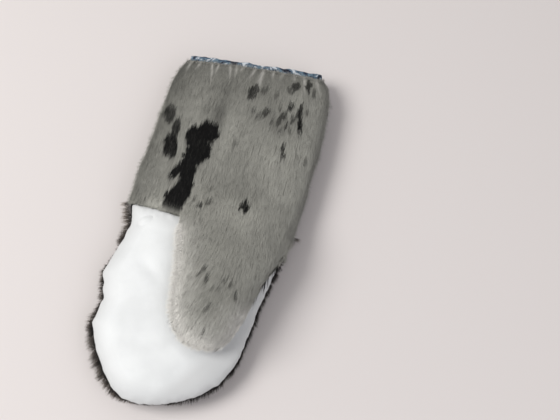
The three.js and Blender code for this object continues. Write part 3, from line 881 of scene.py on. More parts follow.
# %% Grey hair of the palm side
def palm_hair(name, chosen, is_thumb, seed):
    """The grey hairs on the chosen roots of the palm side."""
    places, out = palm_roots[chosen], palm_out[chosen]
    rng = np.random.default_rng(seed)
    count = len(places)
    lie = lie_of(places, out, 31, 0.03)
    near_hem = 1 - rise(below_hem(places), 2, 26)
    length = rng.uniform(10, 14, count) * (1 - 0.6 * near_hem)
    width = rng.uniform(0.30, 0.44, count)
    lift = rng.uniform(0.4, 1.0, count) * (1 - 0.5 * near_hem)
    # Lightness: painted broad light and shade, with a little random tone to each hair
    lightness = painted_light_and_tone_at(places) + rng.normal(0, 0.02, count)
    if is_thumb:
        loose = 1 - rise(from_thumb_edge(places), 0, 8)
        lie = unit(lie + loose[:, None] * (np.array([-0.4, 0, -0.1]) + rng.normal(0, 0.04, (count, 3))))
        width *= 1 - 0.4 * loose
        length = np.minimum(length * (1 - 0.3 * loose), np.maximum(places[:, 1] - THUMB_END + 2, 3))
        follow = 1 - 0.3 * loose
    else:
        # The last hairs beside the leather end a little way over the seam
        overlap = rng.uniform(0.5, 4.5, count) * (1 - 0.8 * rise(places[:, 0], -52, -28))
        at_leather = places[:, 0] < CROTCH_X + 1
        length = np.where(at_leather, np.clip(past_seam(places) + overlap, 2.0, length), length)
        # On the cuff's steep sides the hairs stand off a little
        side = 1 - rise(np.abs(out[:, 2]), 0.1, 0.6)
        lie = unit(lie + out * (side * rng.uniform(0, 0.35, count))[:, None])
        follow = 1 - 0.8 * side
    marking = marking_at(places + lie * (0.25 * length)[:, None])
    # Shorter hairs keep a mark crisp
    length *= 1 - 0.35 * rise(marking, 0.05, 0.3) * rise(np.abs(past_seam(places)), 6, 14)
    marking = np.minimum(marking * rng.uniform(0.92, 1.4, count), 1)
    grow(name, GREY, places, out, lie, length, width, lift, lightness, seed, marking, pale_at,
         skin=palm_tree, follow=follow, fade=kept_at_seam)


root_x, root_y, root_z = palm_roots.T
off_thumb = root_x < np.interp(root_y, thumb_rows, thumb_left) - 1
on_thumb = (root_y < 2) & (root_z > 20) & ~off_thumb
palm_hair("thumb_hair", on_thumb, True, 51)
palm_hair("cuff_hair_outer", ~on_thumb & (root_x < 4), False, 52)
palm_hair("cuff_hair_inner", ~on_thumb & (root_x >= 4), False, 53)

# %% [markdown]
# ## Loose hairs at the edges
# A coat that stops at a clean line looks cut out of paper. On the real mitten fine hairs stray past the
# thumb's edge, the cuff's sides and the hem, and the cuff's last hairs fall over the seam to the lower
# leather. Each is a sparse set of its own, because these hairs lie in other ways than the coat does.

# %% Hairs past the thumb's edge
FACE_UP = np.array([0.0, 0.0, 1.5])  # turns the shading of loose hairs up, into that of the coat above
THUMB_EDGE_HAIRS = 5200


def at_thumb_edge(places):
    """True near the thumb's free edge."""
    return (from_thumb_edge(places) < 9) & (places[:, 1] < -12) & (places[:, 2] > 20)


def thumb_edge_hair():
    """Long fine pale hairs that stand out over the leather along the thumb's free edge."""
    places, out = scatter(palm_pelt, 6.0, 56, within=at_thumb_edge)
    places, out = places[out[:, 2] > -0.3], out[out[:, 2] > -0.3]
    rng = np.random.default_rng(54)
    chance = 1.02 - rise(from_thumb_edge(places), 0, 8)
    few = rng.choice(len(places), THUMB_EDGE_HAIRS, replace=False, p=chance / chance.sum())
    places, out = places[few], out[few]
    count = len(places)
    at_end = (1 - rise(places[:, 1], -100, -80))[:, None]
    lie = np.array([-0.8, -0.5, -0.25]) * (1 - at_end) + np.array([-0.35, -0.9, -0.25]) * at_end
    lie = unit(lie + rng.normal(0, 0.15, (count, 3)) * (1, 1, 0.5))
    length = rng.uniform(3, 9.5, count) * (1 - 0.4 * at_end[:, 0])
    width = rng.uniform(0.14, 0.22, count)
    lift = rng.uniform(0.0, 0.6, count)
    lightness = rng.normal(1.03, 0.08, count)
    grow("thumb_edge_hair", GREY, places, out, lie, length, width, lift, lightness, 55,
         paleness=rng.uniform(0.55, 0.95, count), facing=unit(out + FACE_UP), pitch_mm=3.0, pull=0.3)


thumb_edge_hair()

# %% Hairs at the cuff's sides and hem
CUFF_SIDE_HAIRS = 5000
HEM_HAIRS = 1500


def at_cuff_edge(places):
    """True at the cuff's sides and along its hem."""
    return (places[:, 1] > 0) & (np.abs(places[:, 0]) > 50) | (below_hem(places) < 3)


def cuff_edge_hair():
    """Fine loose hairs that soften the cuff's sides and its hem."""
    places, out = scatter(palm_pelt, 5.0, 61, within=at_cuff_edge)
    at_hem = below_hem(places) < 2.5
    at_side = np.abs(out[:, 2]) < 0.75
    rng = np.random.default_rng(62)
    side = rng.permutation(np.flatnonzero(at_side & ~at_hem))[:CUFF_SIDE_HAIRS]
    hem = rng.permutation(np.flatnonzero(at_hem))[:HEM_HAIRS]
    chosen = np.concatenate([side, hem])
    places, out, hem_ones = places[chosen], out[chosen], np.arange(len(chosen)) >= len(side)
    count = len(places)
    lie = np.column_stack([np.sign(places[:, 0]) * 0.8, np.full(count, -0.6), np.full(count, 0.05)])
    lie[hem_ones] = (0.0, 0.25, 0.75)
    lie = unit(lie + rng.normal(0, 0.25, (count, 3)) * (1, 1, 0.7))
    length = np.where(hem_ones, rng.uniform(1.5, 4, count), rng.uniform(2.5, 6, count))
    width = rng.uniform(0.14, 0.2, count)
    lift = rng.uniform(0.0, 0.5, count)
    lightness = rng.normal(0.85, 0.12, count)
    paleness = np.where(hem_ones, rng.uniform(0.0, 0.4, count), 0.1)
    grow("cuff_edge_hair", GREY, places, out, lie, length, width, lift, lightness, 63,
         paleness=paleness, pitch_mm=3.0, pull=0.3)


cuff_edge_hair()

# %% Hairs over the seam across the palm
def at_cross_seam(places):
    """True along the seam across the palm, from the little-finger side to the thumb."""
    beside_thumb = places[:, 0] < CROTCH_X + 1
    return (past_seam(places) < 2.2) & beside_thumb & (places[:, 1] > -12) & (places[:, 2] > 20)


def seam_hair():
    """Hairs at the cuff's edge that fall over the seam, down to the leather."""
    places, out = scatter(palm_pelt, 9.0, 57, within=at_cross_seam)
    rng = np.random.default_rng(58)
    count = len(places)
    leather_z = nearest(surface_tree(palm_skin), places)[:, 2]
    reach = np.maximum(past_seam(places), 0) + rng.uniform(0.2, 1.8, count)
    drop = (places[:, 2] - leather_z) * rng.uniform(0.6, 1.0, count)
    fall = np.column_stack([-0.15 * reach, -reach, -drop])
    width = rng.uniform(0.26, 0.38, count)
    lift = rng.uniform(0.6, 1.2, count)
    # Lightness: painted broad light and shade, with a little random tone to each hair
    lightness = painted_light_and_tone_at(places) + rng.normal(0, 0.03, count)
    grow("seam_hair", GREY, places, out, unit(fall), np.linalg.norm(fall, axis=1), width, lift, lightness, 59,
         marking_at(places), fade=kept_at_seam, facing=unit(out + FACE_UP), pitch_mm=2.0, pull=0.25)


seam_hair()

# %% Undercoat of the palm side
def colour_undercoat(piece, along, lightness, marking=0.0, paleness=0.0):
    """Stores the four numbers that steer the fur's colour, for every point of an undercoat."""
    values = {"along": along, "lightness": lightness, "marking": marking, "paleness": paleness}
    for name, value in values.items():
        set_values(piece, name, np.broadcast_to(value, len(piece.data.vertices)))


points = places_of(palm_pelt)
# Lightness: painted broad light and shade, as on the hairs above
colour_undercoat(palm_pelt, 0.42, painted_light_and_tone_at(points) - 0.03, marking_at(points) * kept_at_seam(points),
                 0.8 * pale_at(points))
finish_piece(palm_pelt, *GREY, "palm_fur")

# %% [markdown]
# ## Fur of the back and the fringe
# The back's fur covers the underside and the sides, and it shows from above as a dark fringe round the
# palm. There the hairs stand out over the rim: long on the little-finger side, short at the fingertips.
# A short table gives their length by the turn round the palm, and the rest lies flat like the cuff's.
# Where the felt medallion is sewn on no hair grows, as it would stick through the felt.

# %% Where the medallion keeps the hair away
medallion_low, medallion_high = (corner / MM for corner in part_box("bead_edging"))
MEDALLION_MIDDLE = np.array((medallion_low + medallion_high) / 2)
MEDALLION_LEAN = math.radians(8)
MEDALLION_TOP = 8  # mm; hair higher up than this can't reach the felt
MEDALLION_LONG = 58.6  # half length of the beaded oval, outer edge, mm
MEDALLION_WIDE = 39.1


def in_medallion(places, margin):
    """True for places inside the oval of the medallion, grown by a margin in mm."""
    x = places[:, 0] - MEDALLION_MIDDLE[0]
    y = places[:, 1] - MEDALLION_MIDDLE[1]
    along = y * math.cos(MEDALLION_LEAN) - x * math.sin(MEDALLION_LEAN)
    across = x * math.cos(MEDALLION_LEAN) + y * math.sin(MEDALLION_LEAN)
    inside = np.hypot(along / (MEDALLION_LONG + margin), across / (MEDALLION_WIDE + margin)) < 1
    return inside & (places[:, 2] < MEDALLION_TOP)


print("medallion middle, mm:", MEDALLION_MIDDLE.round(1))

# %% Hair of the back
def back_hair():
    """The dark coat, kept short where it would reach out past the rim and off the medallion."""
    lie = lie_of(back_roots, back_out, 71, 0.08)
    rng = np.random.default_rng(72)
    count = len(back_roots)
    length = rng.uniform(10, 14, count)
    tips = back_roots + lie * length[:, None]
    too_far = past_edge(tips)[1] - rim_at(back_roots)
    length = np.where(off_the_table(back_roots), np.clip(length - 1.3 * too_far, 1.2, length), length)
    kept = ~in_medallion(back_roots, 1.5) & ~in_medallion(tips, -1.5)
    width = rng.uniform(0.6, 0.85, count)
    lift = rng.uniform(0.3, 0.8, count)
    lightness = rng.normal(1, 0.16, count)
    hairs = (values[kept] for values in (back_roots, back_out, lie, length, width, lift, lightness))
    grow("back_hair", DARK, *hairs, 73, skin=back_tree)


back_hair()

# %% Fringe round the palm
FRINGE = [
    # turn round the palm in degrees from the fingertips, reach of the hair past the leather in mm
    (-143, 3), (-138, 6), (-131, 9), (-122, 8.5), (-113, 4.5), (-105, 2.2), (-92, 5), (-74, 6),
    (-54, 7.5), (-47, 8.5), (-33, 10), (-25, 8.5), (-18, 6.5), (-10, 2.5), (-3, 0.8), (5, 1.0),
    (11, 3.2), (18, 5.0), (34, 5.2), (52, 5.0), (68, 5.5), (81, 5.8), (95, 4.5), (111, 5), (123, 6.5),
    (140, 5),
]
FRINGE_TONE = [(-75, 1.1), (-50, 1.2), (-35, 1.0), (-18, 1.4), (0, 1.0), (15, 0.6)]  # turn, lightness


def at_rim(places):
    """True for the upper part of the hand's rim."""
    return (places[:, 2] > 0.78 * SEAM_Z) & (places[:, 1] < 8)


def fringe_reach(places):
    """How far the fringe stands out past the leather at the turn of each place, mm, and that turn."""
    turn = np.degrees(np.arctan2(places[:, 0] - PALM_MIDDLE[0], PALM_MIDDLE[1] - places[:, 1]))
    return np.interp(turn, *zip(*FRINGE)), turn


def fringe():
    """Brown-tipped hairs that stand out from the rim in loose tufts."""
    places, out = scatter(back_pelt, 16.0, 81, within=at_rim)
    rng = np.random.default_rng(82)
    reach, turn = fringe_reach(places)
    outer_side = np.where(places[:, 0] < PALM_MIDDLE[0], 1.5, 1.3)
    chance = reach * outer_side * np.interp(turn, [-124, -112], [2.2, 1])
    half = rng.choice(len(places), len(places) // 2, replace=False, p=chance / chance.sum())
    places, out, reach, turn = places[half], out[half], reach[half], turn[half]
    count = len(places)
    inside = np.clip(-past_edge(places)[1], 0, 3)
    length = inside + (reach * 1.1 + 0.6) * rng.uniform(0.35, 1.15, count)
    outward = np.where(turn < -20, 0.85, 0.5)[:, None]
    centre_out = unit((places - (*PALM_MIDDLE, 0)) * (1, 0.8, 0))
    lie = centre_out * outward + np.array([0, -1, 0]) * (1 - outward)
    beside_cuff = rise(-turn, 108, 122)[:, None]  # the coat lies down along the mitten there
    lie = lie * (1 - beside_cuff) + np.array([-0.9, -0.4, 0]) * beside_cuff
    lie[:, 2] = rng.normal(0.05, 0.16, count)
    tufts = 0.15 * (1 - 0.7 * beside_cuff[:, 0])
    lie[:, 0] += rng.normal(0, 0.13, count) + tufts * soft_noise(places, 4, 83)
    lie[:, 1] += rng.normal(0, 0.13, count) + tufts * soft_noise(places, 4, 84)
    width = rng.uniform(0.18, 0.28, count)
    lift = rng.uniform(0.0, 0.4, count)
    lightness = rng.normal(1, 0.2, count) * np.interp(turn, *zip(*FRINGE_TONE))
    grow("fringe_hair", RIM, places, out, unit(lie), length, width, lift, lightness, 85,
         pitch_mm=2.2, pull=0.4)


fringe()

# %% Undercoat of the back
colour_undercoat(back_pelt, 0.35, 0.9 + 0.15 * soft_noise(places_of(back_pelt), 5, 91))
finish_piece(back_pelt, *DARK, "back_fur")

# %% [markdown]
# ## White leather
# The palm is a smooth white dressed hide. Its creases and the gathers along its seam throw real shadows,
# so they are shapes in the mesh and no bump: each crease is a soft groove along a line, and noise near
# the seam puckers it.

# %% Creases in the leather
CREASES = [
    # start, end, width and depth in mm; a negative depth is a ridge
    ((-57, -16), (-42, -5), 2.8, 0.9),
    ((-46, -44), (-20, -62), 6, 1.0),
    ((8, -146), (40, -100), 10, 0.6),
    ((-8, -146), (24, -96), 10, -0.5),
]
# Past the line of this soft fold, shade is painted into the leather's colour
FOLD = np.array([(-2.0, -152.0), (38.0, -98.0)])  # ends of a soft fold across the lower palm, mm


def crease(points, start, end, wide, depth):
    """Drop of a soft crease from start to end, in mm."""
    a, b = np.array(start, float), np.array(end, float)
    span = b - a
    share = np.clip(((points[:, :2] - a) @ span) / (span @ span), 0, 1)
    off = np.linalg.norm(points[:, :2] - (a + share[:, None] * span), axis=1)
    ends = np.sin(np.clip(share, 0.02, 0.98) * math.pi) ** 0.7
    return depth * np.exp(-((off / wide) ** 2)) * ends


def shape_leather():
    """Presses the creases, the slow swells and the gathers at the seam into the leather."""
    points = places_of(palm_skin)
    gap = values_of(palm_skin, "from_cut")
    drop = sum(crease(points, *row) for row in CREASES)
    drop += 0.35 * soft_noise(points, 30, 101) * rise(gap, 2, 14)
    drop += 0.30 * soft_noise(points, 4.5, 102) * (1 - rise(gap, 1, 9))
    move_points(palm_skin, points - normals_of(palm_skin) * drop[:, None])


def painted_shade_past_fold(points):
    """0 to 1 past the fold, where shade is painted into the hide as grey."""
    start, end = FOLD
    span = unit(end - start)
    past = (points[:, 0] - start[0]) * span[1] - (points[:, 1] - start[1]) * span[0]
    return rise(past, -4, 9)


shape_leather()
set_values(palm_skin, "painted_fold_shade", painted_shade_past_fold(places_of(palm_skin)))
print("leather top, mm:", round(places_of(palm_skin)[:, 2].max(), 1))

# %% [markdown]
# The hide is tanned white and lightly coated. It is matt, with a soft gloss: roughness near 0.5 and the
# index of refraction 1.5 of a coated surface. The white is a little uneven, and shade is painted in as grey
# towards the seams and past a soft fold on the lower palm. Its grain is about half a millimetre, which is
# finer than a pixel here, so the bump is drawn at 1.1 mm to show at all.

# %% Leather material
def dressed_leather(tree):
    """White dressed hide: even and bright, matt, with painted shade in grey towards the seams and past the
    fold.
    """
    place = add_node(tree, "ShaderNodeTexCoord").outputs["Object"]
    grain = add_node(tree, "ShaderNodeTexVoronoi", {"Vector": place, "Scale": 1 / 0.0011, "Randomness": 1.0},
                     feature="SMOOTH_F1")
    cloud = add_node(tree, "ShaderNodeTexNoise", {"Vector": place, "Scale": 1 / 0.025, "Detail": 5.0})
    tone = add_node(tree, "ShaderNodeValToRGB", {"Fac": cloud.outputs["Fac"]}, [
        (0.35, "#d8dbdb"), (0.65, "#e1e4e4"),
    ])
    from_cut, past_fold = (
        add_node(tree, "ShaderNodeAttribute", attribute_name=name).outputs["Fac"]
        for name in ("from_cut", "painted_fold_shade")
    )
    # Painted shade: grey towards the cut edges and past the fold
    edge = add_node(tree, "ShaderNodeMapRange", {"Value": from_cut, "From Min": 0.0, "From Max": 16.0})
    colour = add_node(tree, "ShaderNodeMix", {
        FACTOR: edge.outputs["Result"], FIRST: linear("#c3c5c5"), SECOND: tone.outputs["Color"],
    }, data_type="RGBA")
    colour = add_node(tree, "ShaderNodeMix", {
        FACTOR: past_fold, FIRST: colour.outputs[RESULT], SECOND: linear("#c8caca"),
    }, data_type="RGBA")
    matt = add_node(tree, "ShaderNodeMapRange", {
        "Value": cloud.outputs["Fac"], "To Min": 0.45, "To Max": 0.6,
    })
    bump = add_node(tree, "ShaderNodeBump", {
        "Height": grain.outputs["Distance"], "Strength": 0.25, "Distance": 0.00012,
    })
    return add_node(tree, "ShaderNodeBsdfPrincipled", {
        "Base Color": colour.outputs[RESULT], "Roughness": matt.outputs["Result"], "IOR": 1.5,
        "Specular IOR Level": 0.4, "Normal": bump.outputs["Normal"],
    })


white_leather = new_material("white_dressed_leather", dressed_leather)
finish_piece(palm_skin, white_leather, "white_leather", "palm_leather")

# %% [markdown]
# ## Lining
# The lining is a printed cotton bag. Inside it only needs to be smooth, so the CAD bag is welded and
# subdivided. Its edge at the mouth is seen from close by, and there the cloth is folded over: the ring
# is remeshed and relaxed until its edge is as round as a folded hem, and noise puckers it.

# %% Lining and its folded edge
def smooth_bag():
    """The lining's bag with finer and softer facets."""
    piece = as_piece(welded("lining"), "lining_bag")
    add_modifier(piece, "SUBSURF", subdivision_type="SIMPLE", levels=1)
    add_modifier(piece, "SMOOTH", iterations=4)
    apply_modifiers(piece)
    piece.data.shade_smooth()
    return piece


def pucker_hem():
    """Swells and puckers the folded edge, and draws it out of the mouth a little."""
    points = places_of(hem_fold)
    pucker = 0.30 * soft_noise(points * (1, 0.25, 1), 5, 111)
    pucker += 0.25 * soft_noise(points * (1, 0.1, 1), 14, 112)
    swell = normals_of(hem_fold) * (0.35 + 0.6 * pucker)[:, None]
    move_points(hem_fold, points + swell + np.array([0, 1, 0]) * (0.7 + pucker)[:, None])


lining_bag = smooth_bag()
hem_fold = soft_copy("lining_hem", "hem_fold", 0.75, 10, 0.5)
pucker_hem()
print("lining's edge reaches y, mm:", round(places_of(hem_fold)[:, 1].max(), 1))

# %% [markdown]
# The cloth is woven cotton with a dyed print of navy, blues and white. Cotton is matt and a little fuzzy,
# so its roughness is high and it has some sheen. The print is distorted noise cut into a few tones, with
# motifs of about a centimetre. The weave is a bump of two crossed waves, 0.4 mm from thread to thread,
# which shows only from close by. Where the cloth lies against the hides it is painted near black, as
# painted shade, so that a seam that gapes a little shows a shadow line and no pale line.

# %% Printed cotton
WAVE_LENGTH = 0.3142  # a Wave node of scale 1 has one band in this length


def printed_cotton(tree):
    """A dyed print in soft flecks on a plain weave, with painted shade, near black, where it lies against the
    hides.
    """
    place = add_node(tree, "ShaderNodeTexCoord").outputs["Object"]
    large = add_node(tree, "ShaderNodeTexNoise", {
        "Vector": place, "Scale": 1 / 0.011, "Detail": 3.0, "Roughness": 0.6, "Distortion": 1.4,
    })
    tone = add_node(tree, "ShaderNodeValToRGB", {"Fac": large.outputs["Fac"]}, [
        (0.36, "#171d2a"), (0.44, "#2b394f"), (0.50, "#6f8896"), (0.54, "#3a4a5e"), (0.59, "#c3cad0"),
    ])
    waves = {"Vector": place, "Scale": WAVE_LENGTH / 0.0004, "Distortion": 0.3}
    weave = [
        add_node(tree, "ShaderNodeTexWave", waves, wave_type="BANDS", bands_direction=way).outputs["Fac"]
        for way in ("X", "Y")
    ]
    threads = add_node(tree, "ShaderNodeMath", {0: weave[0], 1: weave[1]}, operation="ADD")
    bump = add_node(tree, "ShaderNodeBump", {
        "Height": threads.outputs[0], "Strength": 0.4, "Distance": 0.0001,
    })
    # Painted shade: near black where the cloth lies against the hides
    painted_gap_shade = add_node(tree, "ShaderNodeAttribute", attribute_name="painted_gap_shade").outputs["Fac"]
    colour = add_node(tree, "ShaderNodeMix", {
        FACTOR: painted_gap_shade, FIRST: tone.outputs["Color"], SECOND: linear("#14110f"),
    }, data_type="RGBA")
    return add_node(tree, "ShaderNodeBsdfPrincipled", {
        "Base Color": colour.outputs[RESULT], "Roughness": 0.85, "IOR": 1.53, "Specular IOR Level": 0.25,
        "Sheen Weight": 0.15, "Normal": bump.outputs["Normal"],
    })


def painted_gap_shade_of(piece, hides):
    """1 for points of the cloth that lie against the hides, where shade is painted, and 0 for the rest."""
    gaps = np.array([hides.find_nearest(v.co)[3] for v in piece.data.vertices]) / MM
    return 1 - rise(gaps, 0.9, 1.3)


walls = surface_tree(*(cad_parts[node] for node in ("palm_leather", "palm_fur", "back_fur")))
set_values(lining_bag, "painted_gap_shade", painted_gap_shade_of(lining_bag, walls))
set_values(hem_fold, "painted_gap_shade", np.zeros(len(hem_fold.data.vertices)))
cotton = new_material("printed_cotton", printed_cotton)
finish_piece(lining_bag, cotton, "printed_cotton", "lining")
finish_piece(hem_fold, cotton, "printed_cotton", "lining_hem")

# %% [markdown]
# ## Medallion
# The felt oval lies under the mitten, with its flower, so it is seen only from below. Satin stitch is
# thread laid side by side. Each stitch is one closed strand, and a petal has a second layer that hides the
# felt. Petals and leaves keep the outline of their CAD nodes, worked out from the same few sizes.

# %% Places on the medallion
def on_medallion(across, along, z):
    """Points in mm from places along and across the leaning oval."""
    cos, sin = math.cos(MEDALLION_LEAN), math.sin(MEDALLION_LEAN)
    across, along, z = np.broadcast_arrays(across, along, z)
    x = MEDALLION_MIDDLE[0] + across * cos - along * sin
    y = MEDALLION_MIDDLE[1] + across * sin + along * cos
    return np.stack([x, y, z], axis=-1)


def polar(radius, turn):
    """Places across and along the medallion from a radius and a turn in radians."""
    return np.stack([radius * np.cos(turn), radius * np.sin(turn)], axis=-1)


print("a place 30 mm along the oval, mm:", on_medallion(0.0, 30.0, 0.0).round(1))

# %% [markdown]
# Floss is loosely twisted cotton thread: a soft gloss along each stitch, and one tone to each. Felt is
# matted wool: hardly any gloss, flecks of several creams and a nap of short fibres, half a millimetre in
# reality and drawn at 1.2 mm to show. The seed beads are drawn glass tube, melted smooth at the ends.

# %% Floss, felt and glass
def floss(tree, colour, dark):
    """Stranded cotton thread: lighter and darker fibres, roughness near 0.45, and one tone to a stitch."""
    lightness = add_node(tree, "ShaderNodeAttribute", attribute_name="lightness").outputs["Fac"]
    place = add_node(tree, "ShaderNodeTexCoord").outputs["Object"]
    fibre = add_node(tree, "ShaderNodeTexNoise", {"Vector": place, "Scale": 1 / 0.0009, "Detail": 3.0})
    tone = add_node(tree, "ShaderNodeMix", {
        FACTOR: fibre.outputs["Fac"], FIRST: linear(dark), SECOND: linear(colour),
    }, data_type="RGBA")
    shade = add_node(tree, "ShaderNodeHueSaturation", {"Color": tone.outputs[RESULT], "Value": lightness})
    return add_node(tree, "ShaderNodeBsdfPrincipled", {
        "Base Color": shade.outputs["Color"], "Roughness": 0.45, "IOR": 1.53, "Specular IOR Level": 0.4,
        "Sheen Weight": 0.15,
    })


def wool_felt(tree):
    """Cream wool felt: a heathered tone and a raised nap, with a sheen from its fibres."""
    place = add_node(tree, "ShaderNodeTexCoord").outputs["Object"]
    nap = add_node(tree, "ShaderNodeTexNoise", {
        "Vector": place, "Scale": 1 / 0.0012, "Detail": 6.0, "Roughness": 0.7,
    })
    heather = add_node(tree, "ShaderNodeTexNoise", {
        "Vector": place, "Scale": 1 / 0.004, "Detail": 8.0, "Roughness": 0.75,
    })
    tone = add_node(tree, "ShaderNodeValToRGB", {"Fac": heather.outputs["Fac"]}, [
        (0.35, "#bdb6ab"), (0.48, "#dcd8cd"), (0.7, "#e9e6dd"),
    ])
    bump = add_node(tree, "ShaderNodeBump", {
        "Height": nap.outputs["Fac"], "Strength": 0.5, "Distance": 0.0004,
    })
    return add_node(tree, "ShaderNodeBsdfPrincipled", {
        "Base Color": tone.outputs["Color"], "Roughness": 0.95, "IOR": 1.54, "Specular IOR Level": 0.15,
        "Sheen Weight": 0.35, "Sheen Roughness": 0.6, "Normal": bump.outputs["Normal"],
    })


def bead_glass(tree, colour):
    """Opaque glass: nearly smooth, roughness 0.1, and the index of refraction of soda glass, 1.52."""
    return add_node(tree, "ShaderNodeBsdfPrincipled", {
        "Base Color": linear(colour), "Roughness": 0.1, "IOR": 1.52,
        "Coat Weight": 0.3, "Coat Roughness": 0.05,
    })


blue_floss = new_material("blue_cotton_floss", floss, colour="#2f62a8", dark="#234a86")
navy_floss = new_material("navy_cotton_floss", floss, colour="#202a6c", dark="#161c4c")
green_floss = new_material("green_cotton_floss", floss, colour="#5b9132", dark="#457624")
brown_floss = new_material("brown_cotton_floss", floss, colour="#5a3a2a", dark="#3e281d")
white_felt = new_material("white_wool_felt", wool_felt)
navy_glass = new_material("navy_glass", bead_glass, colour="#161c5e")
white_glass = new_material("white_glass", bead_glass, colour="#e9e9f0")
print("threads:", [thread.name for thread in (blue_floss, navy_floss, green_floss, brown_floss)])

# %% Felt oval
FELT_LONG, FELT_WIDE = 56.1, 36.6  # half sizes, mm
FELT_Z = (1.1, 2.3)  # height of its lower and upper face, mm
FELT_STEPS = 120
FELT_PROFILE = [
    # share of the radius and of the thickness, from the middle of the lower face round to the upper one
    (0.3, 0), (0.55, 0), (0.75, 0), (0.88, 0), (0.96, 0), (0.99, 0.2), (1.0, 0.5), (0.99, 0.8), (0.96, 1),
    (0.8, 1), (0.5, 1),
]


def felt_oval():
    """Rings of points from the profile, closed by a fan of triangles to the middle of each face."""
    turns = np.arange(FELT_STEPS) * 2 * math.pi / FELT_STEPS
    share, height = (np.array(column)[:, None] for column in zip(*FELT_PROFILE))
    rings = on_medallion(
        FELT_WIDE * share * np.cos(turns), FELT_LONG * share * np.sin(turns),
        FELT_Z[0] + (FELT_Z[1] - FELT_Z[0]) * height,
    ).reshape(-1, 3)
    last_ring = len(rings) - FELT_STEPS
    points = np.vstack([rings, on_medallion(0.0, 0.0, np.array(FELT_Z))])
    points[:, 2] += 0.07 * soft_noise(points, 7, 121)
    ring, step = np.meshgrid(np.arange(len(FELT_PROFILE) - 1), np.arange(FELT_STEPS), indexing="ij")
    a, b = (ring * FELT_STEPS + (step + more) % FELT_STEPS for more in (0, 1))
    c, d = b + FELT_STEPS, a + FELT_STEPS
    low, high = np.full(FELT_STEPS, len(rings)), np.full(FELT_STEPS, len(rings) + 1)
    triangles = np.concatenate([np.stack(corners, axis=-1).reshape(-1, 3) for corners in (
        (a, b, c), (a, c, d), (low, b[0], a[0]), (high, last_ring + a[0], last_ring + b[0]),
    )])
    finish_piece(mesh_piece("felt_oval", points, triangles), white_felt, "white_felt", "medallion_felt")


felt_oval()

# %% One stitch
THREAD_Z = 0.72  # middle of the top layer of thread, mm over the table
UNDER_Z = 0.92  # and of the layer that hides the felt behind it
LINE_Z = 0.50  # thin lines over the petals, nearest to the table
FACE_DOWN = np.array([0.0, 0.0, -1.0])
STITCH_SIDES = 5
STITCH_STATIONS = [
    # share of the length, height towards the felt in mm
    (0.0, 0.25), (0.12, 0.0), (0.5, -0.12), (0.88, 0.0), (1.0, 0.25),
]


def stitches(name, starts, ends, z, widths, seed):
    """Strands from starts to ends on the felt, one row to a stitch. z is one height or one to a row, and
    widths are those of the two ends, for all rows."""
    count = len(starts)
    share, sag = (np.array(column) for column in zip(*STITCH_STATIONS))
    plan = starts[:, None] + (ends - starts)[:, None] * share[:, None]
    paths = on_medallion(plan[:, :, 0], plan[:, :, 1], np.reshape(z, (-1, 1)) + sag)
    width = np.tile(widths[0] + (widths[1] - widths[0]) * share[1:-1], (count, 1))
    points, triangles, per_strand = sweep(paths, width, np.tile(FACE_DOWN, (count, 1)), STITCH_SIDES)
    piece = mesh_piece(name, points, triangles)
    lightness = np.random.default_rng(seed).normal(1, 0.09, count)
    set_values(piece, "lightness", np.repeat(lightness, per_strand))
    flat_map(piece)
    return piece


print("stitches run at z, mm:", THREAD_Z, "and", UNDER_Z)

# %% Petals
PETAL_TURNS = [30 + 60 * i for i in range(6)]  # degrees
PETAL_FROM, PETAL_TO = 10.0, 27.5  # mm from the middle
PETAL_HALF_ANGLE = 0.48  # half of a petal's turn, radians
PETAL_STITCHES = 42  # in each layer


def petal(i, turn):
    """Radial stitches that fill one petal, in two layers."""
    starts, ends = [], []
    rng = np.random.default_rng(200 + i)
    for layer in (0, 1):
        angle = np.linspace(-0.97, 0.97, PETAL_STITCHES) * PETAL_HALF_ANGLE
        angle = angle + layer * 0.5 * (angle[1] - angle[0])
        reach = np.maximum(1 - (angle / PETAL_HALF_ANGLE) ** 2, 0.02) ** 0.2
        radius = PETAL_FROM + (PETAL_TO - PETAL_FROM) * reach - 0.3 * layer
        turns = math.radians(turn) + angle
        starts.append(polar(PETAL_FROM + rng.uniform(-1.2, 0.6, PETAL_STITCHES), turns))
        ends.append(polar(radius + rng.uniform(-0.25, 0.1, PETAL_STITCHES), turns))
    z = np.repeat([THREAD_Z, UNDER_Z], PETAL_STITCHES)
    piece = stitches(f"petal_stitches_{i + 1}", np.concatenate(starts), np.concatenate(ends), z,
                     (0.30, 0.68), 210 + i)
    finish_piece(piece, blue_floss, "blue_floss", f"petal_{i + 1}")


for i, turn in enumerate(PETAL_TURNS):
    petal(i, turn)

# %% Leaves
LEAVES = [
    # turn in degrees, start from the middle, length and width in mm
    (118, 29, 19, 8.5), (88, 29.5, 22, 9), (58, 29, 17, 8), (-74, 29, 18, 8.5), (-112, 29, 19, 8.5),
]


def leaf(i, turn, start, length, wide):
    """Slanting stitches from a leaf's middle line to its edge, on both sides. Two inner points steer the
    curve of the edge, as in the CAD."""
    t = np.linspace(0.03, 0.97, 40)
    before, after = 3 * (1 - t) ** 2 * t, 3 * (1 - t) * t ** 2
    at = start + length * (0.15 * before + 0.6 * after + t ** 3)
    half = wide * (0.55 * before + 0.66 * after)
    inner = np.maximum(at - 0.22 * length * (half / half.max()), start)
    starts = np.concatenate([np.column_stack([inner, np.full(len(t), side * 0.05)]) for side in (1, -1)])
    ends = np.concatenate([np.column_stack([at, side * half]) for side in (1, -1)])
    cos, sin = math.cos(math.radians(turn)), math.sin(math.radians(turn))
    spin = np.array([[cos, sin], [-sin, cos]])
    piece = stitches(f"leaf_stitches_{i + 1}", starts @ spin, ends @ spin, THREAD_Z, (0.62, 0.62), 220 + i)
    finish_piece(piece, green_floss, "green_floss", f"leaf_{i + 1}")


for i, row in enumerate(LEAVES):
    leaf(i, *row)

